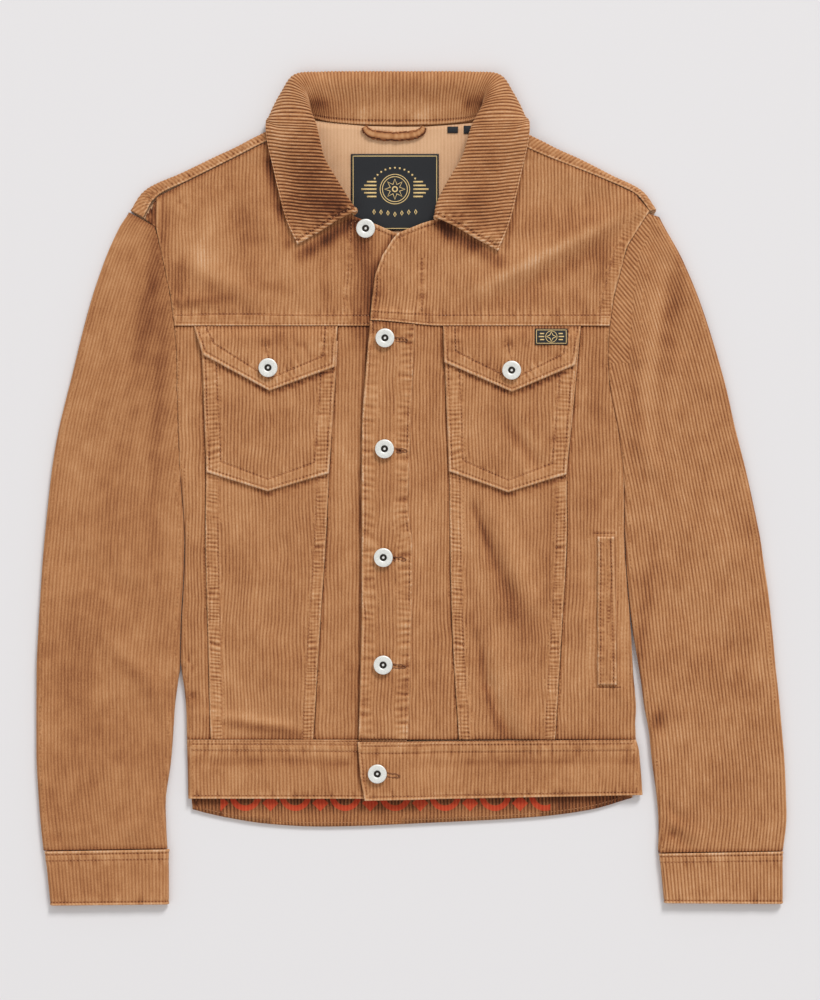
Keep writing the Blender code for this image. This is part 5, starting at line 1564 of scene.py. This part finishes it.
# Sections of the collar from the middle of the back round to the leaf's front edge. Each point is distance
# from the middle line, height on the garment and height over the surface; then how far the left side's roll
# moves in and how far its leaf hangs lower.
collarSections = (
    ((0, 335.4, 4.6), (0, 356, 7.6), (0, 374, 11.2), (0, 382.6, 8), (0, 379, 2.6), (0, 352, 1.4),
     (0, 318, 1.4), 0, 0),
    ((34, 335.8, 4.6), (34, 356, 7.8), (35, 373.5, 11.4), (35, 382.6, 8), (35, 379, 2.6), (35, 352, 1.4),
     (35, 318, 1.4), 0, 0),
    ((62, 338.2, 4.8), (64, 357, 8.6), (68, 373, 12), (70, 382.2, 8.4), (70, 378.6, 2.8), (68, 352, 1.4),
     (66, 318, 1.4), 1.0, 0),
    ((76, 341.2, 5.2), (80, 357, 10), (86, 371, 14), (93, 379.6, 11), (95, 376.4, 4), (92, 352, 1.4),
     (88, 318.6, 1.4), 2.5, 0),
    ((80.6, 341, 6), (82, 352, 12.5), (86.5, 360.5, 17), (100, 365.5, 13), (106.8, 363, 5.6),
     (103, 346, 1.4), (100, 320, 1.4), 3.4, 0),
    ((81, 336, 7.2), (81, 343, 13.4), (83, 349, 18.2), (101, 351.5, 15.8), (114.4, 349, 7.4),
     (113.5, 340, 1.4), (111, 330, 1.4), 4.6, 0),
    ((80, 329, 9), (78, 333, 14), (78, 337, 18.8), (98, 338.4, 17.4), (114.5, 339, 13), (119.4, 339.8, 7),
     (118.8, 337.4, 3.4), 6.2, 0),
    ((78.6, 322, 9.6), (75.6, 325, 14.2), (75.4, 328, 18.8), (93, 329, 18.2), (108, 330, 15.6),
     (116.4, 331.6, 13.8), (121, 332.4, 11.6), 7.0, 0),
    ((76.6, 314, 9.8), (73.4, 316, 14.4), (73.2, 318, 18.6), (90, 318, 18.2), (104, 317.4, 15.8),
     (113, 317, 14), (119.4, 316.6, 12.6), 7.6, 0),
    ((72.6, 300, 9.4), (68.8, 301, 13.6), (68.8, 302, 17.6), (84, 301, 17), (98, 300, 13.6),
     (108, 299, 11.4), (115.2, 298, 10.2), 8.6, 0),
    ((62.6, 281, 8.8), (58.6, 283, 12.6), (58.8, 285, 16), (75, 281, 15.2), (91, 277, 12),
     (101, 274.6, 10.6), (109.6, 273, 9.8), 9.4, 0.6),
    ((49.6, 262.4, 8.8), (46.6, 264, 11.8), (47.2, 266, 14.6), (64, 259, 13.4), (82, 253, 11),
     (94, 249.6, 10.2), (102.6, 247.4, 9.8), 8.4, 2.6),
    ((38.4, 252, 8.8), (37.2, 253, 11), (38.6, 254.2, 13.2), (55, 246.4, 11.6), (70, 236.8, 10.2),
     (82, 230, 9.6), (92.2, 224.4, 9.4), 3.0, 5.8),
)
collarSpec = {
    "turnAt": 7,               # from this section on, the wales lie level across the leaf
    "leanShares": (1.0, 1.0, 1.0, 0.7, 0.3, 0.1, 0.0),
    "width": 100.0,            # from the neck seam to the free edge
    "sections": 40, "steps": 56, "space": 0.5,
}


def collarMiddle(side, keys):
    # the middle of the collar's wall: sections by steps
    far, columns = side > 0, []
    for place, share in enumerate(collarSpec["leanShares"]):
        table = [(i, *entry[place], *entry[7:]) for i, entry in enumerate(collarSections)]
        out, up, high, lean, drop = (read(table, keys, column) for column in (1, 2, 3, 4, 5))
        x = seams["centre"] + side * (out - lean * far * share)
        columns.append(np.stack([x, up - drop * far, high], -1))
    steps = np.linspace(0, len(columns) - 1, collarSpec["steps"])
    found = []
    for section in np.stack(columns, 1):
        keyed = np.column_stack([np.arange(len(columns)), section])
        found.append(np.stack([read(keyed, steps, column) for column in (1, 2, 3)], -1))
    found = np.array(found)
    found[..., 2] = np.maximum(found[..., 2], cloth["collarWall"] / 2 + 0.05)
    return found


def collarSurface():
    # lays the collar's grid out by wale: across the back by section, and down each leaf by height
    last = len(collarSections) - 1
    keys = np.linspace(0, last, last * collarSpec["sections"] + 1)
    turn = int(collarSpec["turnAt"] * collarSpec["sections"])
    along = np.linspace(0, collarSpec["width"], collarSpec["steps"])
    halves = {}
    for side in (-1, 1):
        middle = collarMiddle(side, keys)
        run = np.linalg.norm(np.diff(middle, axis=0), axis=-1)[:, collarSpec["steps"] * 2 // 3]
        reach = np.concatenate([[0.0], np.cumsum(run)])
        wales = np.repeat(reach[:, None], collarSpec["steps"], axis=1)
        wales[turn:] = reach[turn] + (middle[turn, :, 1][None, :] - middle[turn:, :, 1])
        wales = np.maximum.accumulate(wales + np.arange(len(keys))[:, None] * 1e-6, axis=0)
        halves[side] = (middle, wales)
    ends = {side: halves[side][1][-1] for side in halves}
    across = np.arange(-max(ends[-1]) - 1, max(ends[1]) + 1.5, collarSpec["space"])
    places = np.zeros((len(across), len(along), 3))
    for j in range(len(along)):
        for side, chosen in ((-1, across < 0), (1, across >= 0)):
            middle, wales = halves[side]
            out = np.abs(across[chosen])
            for column in range(3):
                places[chosen, j, column] = np.interp(out, wales[:, j], middle[:, j, column])
            way = middle[-1, j] - middle[-12, j]
            past = np.maximum(out - wales[-1, j], 0.0)
            places[chosen, j] += past[:, None] * way / np.linalg.norm(way)
    return along, across, places, ends


along, across, places, ends = collarSurface()
collarGrid = facingUp(gridSurface(across, along, places), 0.0, 12.0)


def collarEmbed(a, b):
    # the face that looks up; the grid is the middle of the wall
    point, way = collarGrid(a, b)
    return point + way * cloth["collarWall"] / 2, way


width = collarSpec["width"]
leafEnds = {
    side: [(side * (float(end) - 0.4), float(up)) for end, up in zip(ends[side], along)] for side in (-1, 1)
}
freeEdge = [(float(a), width) for a in np.linspace(leafEnds[1][-1][0], leafEnds[-1][-1][0], 80)]
neckEdge = [(float(a), 0.0) for a in np.linspace(leafEnds[-1][0][0], leafEnds[1][0][0], 80)]
piped = {"wear": 1.0, "rim": 0.4, "rimWidth": 2.6, "lip": cloth["thickLip"]}
# painted light along the leaf's roll and painted shade on its stand: height, start, width, light and press
rollMarks = [
    ridge([(side * a, up) for a in np.linspace(start, 190, 20)], width, 0.0, wear, press)
    for up, start, width, wear, press in ((27.0, 88, 3.4, 0.45, 0.2), (14.0, 72, 5.0, -0.6, 0.0))
    for side in (-1, 1)
]


def leafContrast(a, b):
    # level wales stand across the light: deeper painted shade in their valleys than on the back of the stand
    return 0.95 + (1.15 - 0.25 * (a > 0)) * smooth(np.abs(a), 84.0, 120.0)


# painted shade over the collar's leaves and the ends of its stand, with a few lighter places
leafTints = [
    (-92, 296, 24, 44, -14, -1.1), (-104, 258, 20, 26, -20, -0.9), (-72, 262, 16, 20, -30, -1.4),
    (-112, 330, 14, 16, 0, 0.2), (68, 296, 22, 46, 14, -0.6), (84, 250, 22, 22, 20, -0.5),
    (52, 262, 14, 18, 30, -0.7), (-90, 352, 8, 16, 0, -0.25), (68, 358, 9, 16, 0, -0.6),
    (-12, 348, 60, 7, 0, 0.3), (30, 352, 30, 6, 0, 0.35),
]
spec = makeSpec(
    [
        edge(neckEdge, wear=0.6, rim=0.2), edge(leafEnds[1], **piped), edge(freeEdge, **piped),
        edge(leafEnds[-1][::-1], **piped),
    ],
    rows=[
        row(shifted(freeEdge, 0, -3.2), pucker=0.25),
        *(row(shifted(leafEnds[side], -3.6 * side), pucker=0.5, reach=7.0) for side in (1, -1)),
        row(shifted(neckEdge, 0, 3.0), pucker=0.15, dark=1.2),
    ],
    ridges=rollMarks,
    lumps=[
        (-98, 232, 15, 13, 1.3, 0.25, 0.75), (72, 228, 16, 13, 1.3, 0.3, 0.75),
        (-62, 250, 16, 12, 0.8, 0.0, 0.5), (40, 246, 18, 10, 0.8, 0.2, 0.5),
        (-70, 262, 14, 14, 0.6, -0.3, 0.2), (-84, 352, 10, 10, 0.3, -0.25, 0.3),
        (62, 356, 10, 12, 0.3, -0.4, 0.3), (-42, 342, 7, 7, 0.4, 0.7, 0.6), (10, 342, 7, 7, 0.4, 0.7, 0.6),
        (-12, 346, 46, 7, 0.2, 0.2, 0.3), (40, 366, 26, 9, 0.3, -0.25, 0.2),
    ], tinted=leafTints,
)
made = closeSheet(
    "collarCloth", spec, collarEmbed, cloth["collarWall"], step=2.8, depth=1.3, contrast=leafContrast,
)
sew(spec, collarEmbed, 0.0, "collar")
dress(made, ["collar"], faceCloth)

print("stitching")
threadCloth = plainMaterial("stitchingThread", (186, 132, 92), 0.85, bump=0.3)
holeThread = plainMaterial("buttonholeThread", (122, 74, 44), 0.85, bump=0.3)


def tubeFaces(first, stations, sides):
    # the walls between one ring of points and the next
    faces = []
    for low in range(first, first + (stations - 1) * sides, sides):
        for k in range(sides):
            n = (k + 1) % sides
            faces.append((low + k, low + n, low + sides + n, low + sides + k))
    return faces


def capsules(batches):
    # a small bent capsule for each stitch
    points, faces, sides = [], [], thread["sides"]
    for (starts, middles, ends), normals in batches:
        for low, mid, high, normal in zip(starts, middles, ends, normals):
            axis = unit(high - low)
            across = unit(np.cross(normal, axis))
            up = np.cross(axis, across)
            first = len(points)
            points.append(low)
            for centre, size in ((low * 0.6 + mid * 0.4, 0.85), (mid, 1.0), (high * 0.6 + mid * 0.4, 0.85)):
                for turn in math.tau * np.arange(sides) / sides:
                    way = across * math.cos(turn) + up * math.sin(turn)
                    points.append(centre + thread["radius"] * size * way)
            points.append(high)
            last = len(points) - 1
            for k in range(sides):
                n = (k + 1) % sides
                faces += [(first, first + 1 + n, first + 1 + k), (last, last - sides + k, last - sides + n)]
            faces += tubeFaces(first + 1, 3, sides)
    return points, faces


for group, batches in threads.items():
    made = meshPiece(f"{group}Stitching", *capsules(batches))
    made.data.materials.append(threadCloth)


def sweep(name, path, widths, thick, material, sides, seed, pucker):
    # an oval cord or strap along a level path, closed at both ends
    path = np.array(path, float)
    count, ways = len(path), unit(np.gradient(path, axis=0))
    across = unit(np.cross((0.0, 0.0, 1.0), ways))
    up = np.cross(ways, across)
    points = []
    for i in range(count):
        for k, turn in enumerate(math.tau * np.arange(sides) / sides):
            size = 1.0 + pucker * float(drift(i * 1.3, k * 1.7, 2.0, 3.0, seed))
            way = across[i] * widths[i] * math.cos(turn) + up[i] * thick * math.sin(turn)
            points.append(path[i] + size * way / 2)
    ends = [tuple(reversed(range(sides))), tuple(range((count - 1) * sides, count * sides))]
    made = meshPiece(name, points, tubeFaces(0, count, sides) + ends)
    made.data.materials.append(material)
    return made


print("buttonholes")
hole = {
    "long": 22.0, "wide": 3.4, "bluntness": (0.5, 0.7), "bend": (0.35, 1.1), "cord": 1.1, "tall": 0.9,
    "stations": 61, "sides": 6, "seed": 7, "pucker": 0.5, "place": (9.6, -1.0), "lift": 0.15,
}


def buttonhole(name, button, turn, height):
    # a corded oval round the slit, beside its button
    angle = np.linspace(0, math.tau, hole["stations"])
    u, v = (
        hole[size] / 2 * np.copysign(np.abs(share) ** blunt, share)
        for size, share, blunt in zip(("long", "wide"), (np.cos(angle), np.sin(angle)), hole["bluntness"])
    )
    v = v + hole["bend"][0] * np.sin(u * hole["bend"][1])
    cosine, sine = math.cos(math.radians(turn)), math.sin(math.radians(turn))
    x = button[0] + hole["place"][0] + u * cosine - v * sine
    y = button[1] + hole["place"][1] + u * sine + v * cosine
    path = np.column_stack([x, y, height(x, y) + hole["lift"]])
    widths = [hole["cord"]] * len(path)
    sweep(name, path, widths, hole["tall"], holeThread, hole["sides"], hole["seed"], hole["pucker"])


for number, place in enumerate(frontButtons[1:], 1):
    turn, height = (-8, lappedBandTop) if number == 5 else (-4, placketTop)
    buttonhole(f"frontButtonhole{number}", place, turn, height)

print("buttons")
button = {
    "radius": 8.65, "deep": 2.6, "foot": 1.0, "eye": (0.4, 3.4), "eyeHead": 3.3, "sides": 48,
    "bevel": 0.16, "bevelFrom": 28, "smoothTo": 40,
}
# How the blank is worked from its face and from its foot: how far each step goes in, and up or down
faceSteps = (
    (0.55, 0.28), (0.9, 0.12), (3.1, -0.05), (0.8, -0.35), (0.12, -1.5), (0.9, 0.0), (0.9, 0.5), (0.3, 0.1),
)
footSteps = ((0.5, -0.2), (5.2, 0.0), (0.1, -0.8), (0.3, 0.0))


def modelButton():
    # a ring-top jeans button: a flat rolled ring round a hollow eye, on a short shank
    bpy.ops.mesh.primitive_cylinder_add(
        vertices=button["sides"], radius=button["radius"] * mm, depth=button["deep"] * mm,
        location=(0, 0, (button["foot"] + button["deep"] / 2) * mm),
    )
    made = bpy.context.object
    bpy.ops.object.transform_apply(location=True, rotation=False, scale=False)
    for up, steps in ((1, faceSteps), (-1, footSteps)):
        bpy.ops.object.mode_set(mode="EDIT")
        bpy.ops.mesh.select_mode(type="FACE")
        bpy.ops.mesh.select_all(action="DESELECT")
        bpy.ops.object.mode_set(mode="OBJECT")
        wide = max(face.area for face in made.data.polygons if face.normal.z * up > 0.9)
        for face in made.data.polygons:
            face.select = face.normal.z * up > 0.9 and face.area > wide * 0.99
        bpy.ops.object.mode_set(mode="EDIT")
        for inward, move in steps:
            bpy.ops.mesh.inset(thickness=inward * mm)
            bpy.ops.transform.translate(value=(0, 0, move * mm))
        bpy.ops.object.mode_set(mode="OBJECT")
    soften = made.modifiers.new("soften", "BEVEL")
    soften.width, soften.segments, soften.limit_method = button["bevel"] * mm, 2, "ANGLE"
    soften.angle_limit = math.radians(button["bevelFrom"])
    bpy.ops.object.modifier_apply(modifier=soften.name)
    bpy.ops.object.shade_smooth_by_angle(angle=math.radians(button["smoothTo"]))
    made.data.materials.append(plainMaterial("buttonMetal", (232, 231, 223), 0.45, 0.35, 0.12, 900.0))
    made.data.materials.append(plainMaterial("buttonEye", (58, 52, 46), 0.4, 0.6))
    near, far = button["eye"]
    for face in made.data.polygons:
        x, y, z = face.center / mm
        face.material_index = int(near < math.hypot(x, y) < far and z < button["eyeHead"])
    return made


pattern = modelButton()
spots = [(f"front_button_{i}", f"frontButton{i}", place) for i, place in enumerate(frontButtons, 1)]
for side, place in zip(("Right", "Left"), flapButtons):
    spots.append((f"flap_button_{side.lower()}", f"flapButton{side}", place))
for node, name, (x, y) in spots:
    data = pattern.data.copy()
    lowest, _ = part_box(node)
    for vertex in data.vertices:
        vertex.co = vertex.co + Vector((x * mm, y * mm, lowest[2]))
    made = placed(name, data)
    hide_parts(node)
bpy.data.objects.remove(pattern)

print("labels and loop")
labelBlack = plainMaterial("labelBlack", (28, 30, 34), 0.8, bump=0.35, scale=2200.0)
labelGold = plainMaterial("labelGold", (226, 196, 134), 0.7, bump=0.3)
neckLabel = {"left": -55.8, "right": 25.2, "foot": 238.0, "head": 308.4}
flapLabel = {"left": 113.5, "right": 143.4, "foot": 132.5, "head": 147.4}
tabs = (
    {"left": 33.1, "right": 42.8, "foot": 327.6, "head": 333.6},
    {"left": 48.1, "right": 61.0, "foot": 327.0, "head": 334.4},
)
labelRise = stack["clear"] + cloth["labelWall"]


def labelTop(x, y):
    return backFoot(x, y) + cloth["wall"] + labelRise


def flapLabelTop(x, y):
    return flapTop(x, y) + labelRise


def plate(name, node, box, height, step, bulge=0.0):
    # a small woven label with a rounded edge
    ends = [(box[low], box[high]) for low, high in (("left", "right"), ("foot", "head"))]
    across, along = (np.linspace(low, high, round((high - low) / step) + 1) for low, high in ends)
    x, y = np.meshgrid(across, along, indexing="ij")
    near = np.minimum(np.minimum(x - across[0], across[-1] - x), np.minimum(y - along[0], along[-1] - y))
    top = height(x, y) - 0.3 * (1 - smooth(near, 0.0, 1.2)) + bulge * smooth(near, 0.0, 5.0)
    n, m = x.shape
    layers = (top, height(x, y) - cloth["labelWall"])
    points = np.vstack([np.stack([x, y, z], -1).reshape(-1, 3) for z in layers])
    faces = []
    for i in range(n - 1):
        for j in range(m - 1):
            corner = (i * m + j, (i + 1) * m + j, (i + 1) * m + j + 1, i * m + j + 1)
            faces += [corner, tuple(n * m + k for k in reversed(corner))]
    rim = [i * m for i in range(n)] + [(n - 1) * m + j for j in range(1, m)]
    rim += [i * m + m - 1 for i in range(n - 2, -1, -1)] + list(range(m - 2, 0, -1))
    for here, there in zip(rim, rim[1:] + rim[:1]):
        faces.append((there, here, n * m + here, n * m + there))
    made = meshPiece(name, points, faces)
    made.data.materials.append(labelBlack)
    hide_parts(node)


def strokes(name, lines, height, rise=0.14, sunk=0.2):
    # raised woven lines: each is a list of points and a width
    points, faces = [], []
    for line, wide in lines:
        line = np.array(line, float)
        ways = np.gradient(line, axis=0)
        if np.allclose(line[0], line[-1]):
            ways[0] = ways[-1] = line[1] - line[-2]
        ways = unit(ways)
        sides = np.stack([-ways[:, 1], ways[:, 0]], -1) * wide / 2
        first = len(points)
        for place, side in zip(line, sides):
            corners = ((-1, -sunk), (-1, rise), (1, rise), (1, -sunk))
            points += [(*(place + side * sign), lift) for sign, lift in corners]
        last = len(points) - 4
        faces += [face[:1] + face[:0:-1] for face in tubeFaces(first, len(line), 4)]   # wound the other way
        faces += [(first, first + 1, first + 2, first + 3), (last + 3, last + 2, last + 1, last)]
    points = np.array(points)
    points[:, 2] += height(points[:, 0], points[:, 1])
    made = meshPiece(name, points, faces)
    made.data.materials.append(labelGold)


def starLine(x, y, far, near, tips):
    points = []
    for k in range(2 * tips + 1):
        size, turn = (far if k % 2 == 0 else near), math.pi * k / tips + quarter
        points.append((x + size * math.cos(turn), y + size * math.sin(turn)))
    return points


def ringLine(x, y, radius):
    return starLine(x, y, radius, radius, 20)


def frameLine(box, inwards, steps=12):
    left, foot, right, head = (box[end] + inwards * sign for end, sign in (
        ("left", 1), ("foot", 1), ("right", -1), ("head", -1),
    ))
    corners = [(left, foot), (right, foot), (right, head), (left, head), (left, foot)]
    sides = [np.linspace(*ends, steps, endpoint=False) for ends in zip(corners[:-1], corners[1:])]
    return np.vstack(sides + [corners[-1:]])


def dash(x, y, reach):
    return [(x - reach, y), (x, y), (x + reach, y)]


def bars(x, y, levels, away, reach, shorter, pitch, wide):
    # a stack of short bars on each side, the outer ones shorter
    lines = []
    for k in levels:
        less = shorter * abs(k)
        lines += [(dash(x + sign * (away - less), y + k * pitch, reach - less), wide) for sign in (-1, 1)]
    return lines


def neckMotif(box):
    # a star in two rings between stacks of short bars, with a dotted arc over it and lozenges under it
    x, y = (box["left"] + box["right"]) / 2, (box["foot"] + box["head"]) / 2 + 3.0
    lines = [(frameLine(box, 2.0), 0.7), (ringLine(x, y, 11.5), 0.7), (ringLine(x, y, 13.6), 0.7)]
    lines += [(starLine(x, y, 9.4, 4.6, 8), 0.9), (ringLine(x, y, 2.2), 1.2)]
    lines += bars(x, y, range(-2, 3), 24.0, 7.0, 1.3, 3.4, 1.5)
    for k in range(-5, 6):
        turn = math.radians(90 - 12 * k)
        lines.append((dash(x + 21.5 * math.cos(turn), y + 19.5 * math.sin(turn), 0.8), 1.6))
    for k in range(-3, 4):
        lines.append((starLine(x + k * 6.4, y - 21.0 - 0.25 * (3 - abs(k)) ** 2, 2.2, 1.1, 2), 0.9))
    return lines


def flapMotif(box):
    x, y = (box["left"] + box["right"]) / 2, (box["foot"] + box["head"]) / 2
    lines = [(frameLine(box, 1.3), 0.55), (starLine(x, y, 4.4, 2.0, 4), 0.8), (ringLine(x, y, 5.2), 0.5)]
    return lines + bars(x, y, range(-1, 2), 9.1, 2.5, 0.5, 2.8, 1.1)


plate("neckLabel", "neck_label", neckLabel, labelTop, 2.0)
strokes("neckLabelMotif", neckMotif(neckLabel), labelTop)
plate("flapLabel", "flap_label", flapLabel, flapLabelTop, 1.5)
strokes("flapLabelMotif", flapMotif(flapLabel), flapLabelTop)
for number, box in enumerate(tabs, 1):
    plate(f"sizeTab{number}", f"size_tab_{number}", box, labelTop, 1.2, 0.9)

loop = {
    "path": (
        (-43.6, 333.2), (-40.6, 328.8), (-33.0, 325.8), (-16.0, 324.2), (1.0, 325.6), (8.6, 328.6),
        (11.4, 333.2),
    ),
    "wide": 9.0, "narrow": 5.6, "taper": 2.5, "thick": 3.4, "clear": 0.3, "stations": 90, "sides": 18,
    "seed": 23, "pucker": 0.16, "sewnSides": (2, 7), "flat": (0.064, 0.011),
}
path = curve(loop["path"], loop["stations"])
ends = np.abs(np.linspace(-1, 1, loop["stations"])) ** loop["taper"]
widths = loop["narrow"] + (loop["wide"] - loop["narrow"]) * (1 - ends)
heights = backFoot(path[:, 0], path[:, 1]) + cloth["wall"] + loop["thick"] / 2 + loop["clear"]
path = np.column_stack([path, heights])
made = sweep(
    "hangerLoop", path, widths, loop["thick"], faceCloth, loop["sides"], loop["seed"], loop["pucker"],
)
around = np.tile(np.arange(loop["sides"]), loop["stations"])
wavy = drift(np.repeat(np.arange(loop["stations"]), loop["sides"]), around, 2.2, 4.0, 9)
# painted shade along the loop's stitched lines and on its side that faces away from the light
sewn = np.isin(around, loop["sewnSides"]) * (wavy > -0.2) * 0.9
lower = 0.5 * smooth(np.cos(math.tau * around / loop["sides"] + math.pi), 0.2, 1.0)
markPoints(made.data, {"pile": 0.5 + 0.3 * np.cos(around * 1.4), "wear": 0.4 * wavy, "shade": sewn + lower})
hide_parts("hanger_loop")

print("floor, light and camera")
view = {
    "pixel": 0.92, "size": (820, 1000), "middle": (410, 500), "origin": (411.5, 489), "distance": 3.0,
    "sensor": 24.0, "far": 20.0, "floor": 9.0, "floorDrop": 0.00005, "paper": (227, 225, 226),
    "roughness": 0.9,
}
lights = {
    "key": {"place": (7.4, 17.8, 14.6), "size": 6.8, "power": 3750.0},
    "fill": {"place": (-6.0, -6.0, 10.0), "size": 8.0, "power": 182.0},
}
sky = {"Color": (1.0, 0.995, 0.99, 1.0), "Strength": 0.58}


def stand(name, data, place):
    made = bpy.data.objects.new(name, data)
    bpy.context.collection.objects.link(made)
    made.location = place
    return made


bpy.ops.mesh.primitive_plane_add(size=view["floor"], location=(0, 0, -view["floorDrop"]))
floor = bpy.context.object
floor.name = "floor"
paper, tree, shader = newMaterial("paperFloor")
setInputs(tree, shader, {"Base Color": srgb(*view["paper"]), "Roughness": view["roughness"]})
floor.data.materials.append(paper)
aside, below = (middle - origin for middle, origin in zip(view["middle"], view["origin"]))
pixel = view["pixel"] * mm
camera = stand("camera", bpy.data.cameras.new("camera"), (aside * pixel, -below * pixel, view["distance"]))
camera.data.sensor_fit = "VERTICAL"
camera.data.sensor_height = view["sensor"]
camera.data.lens = view["sensor"] * (view["distance"] - stack["top"] * mm) / (view["size"][1] * pixel)
camera.data.clip_end = view["far"]
bpy.context.scene.camera = camera
for name, spec in lights.items():
    lamp = stand(name, bpy.data.lights.new(name, "AREA"), spec["place"])
    lamp.rotation_euler = (-Vector(spec["place"])).to_track_quat("-Z", "Y").to_euler()
    lamp.data.size = spec["size"]
    lamp.data.energy = spec["power"]
world = bpy.data.worlds.new("studio")
bpy.context.scene.world = world
world.use_nodes = True
setInputs(world.node_tree, world.node_tree.nodes["Background"], sky)
bpy.context.scene.view_settings.view_transform = "Standard"
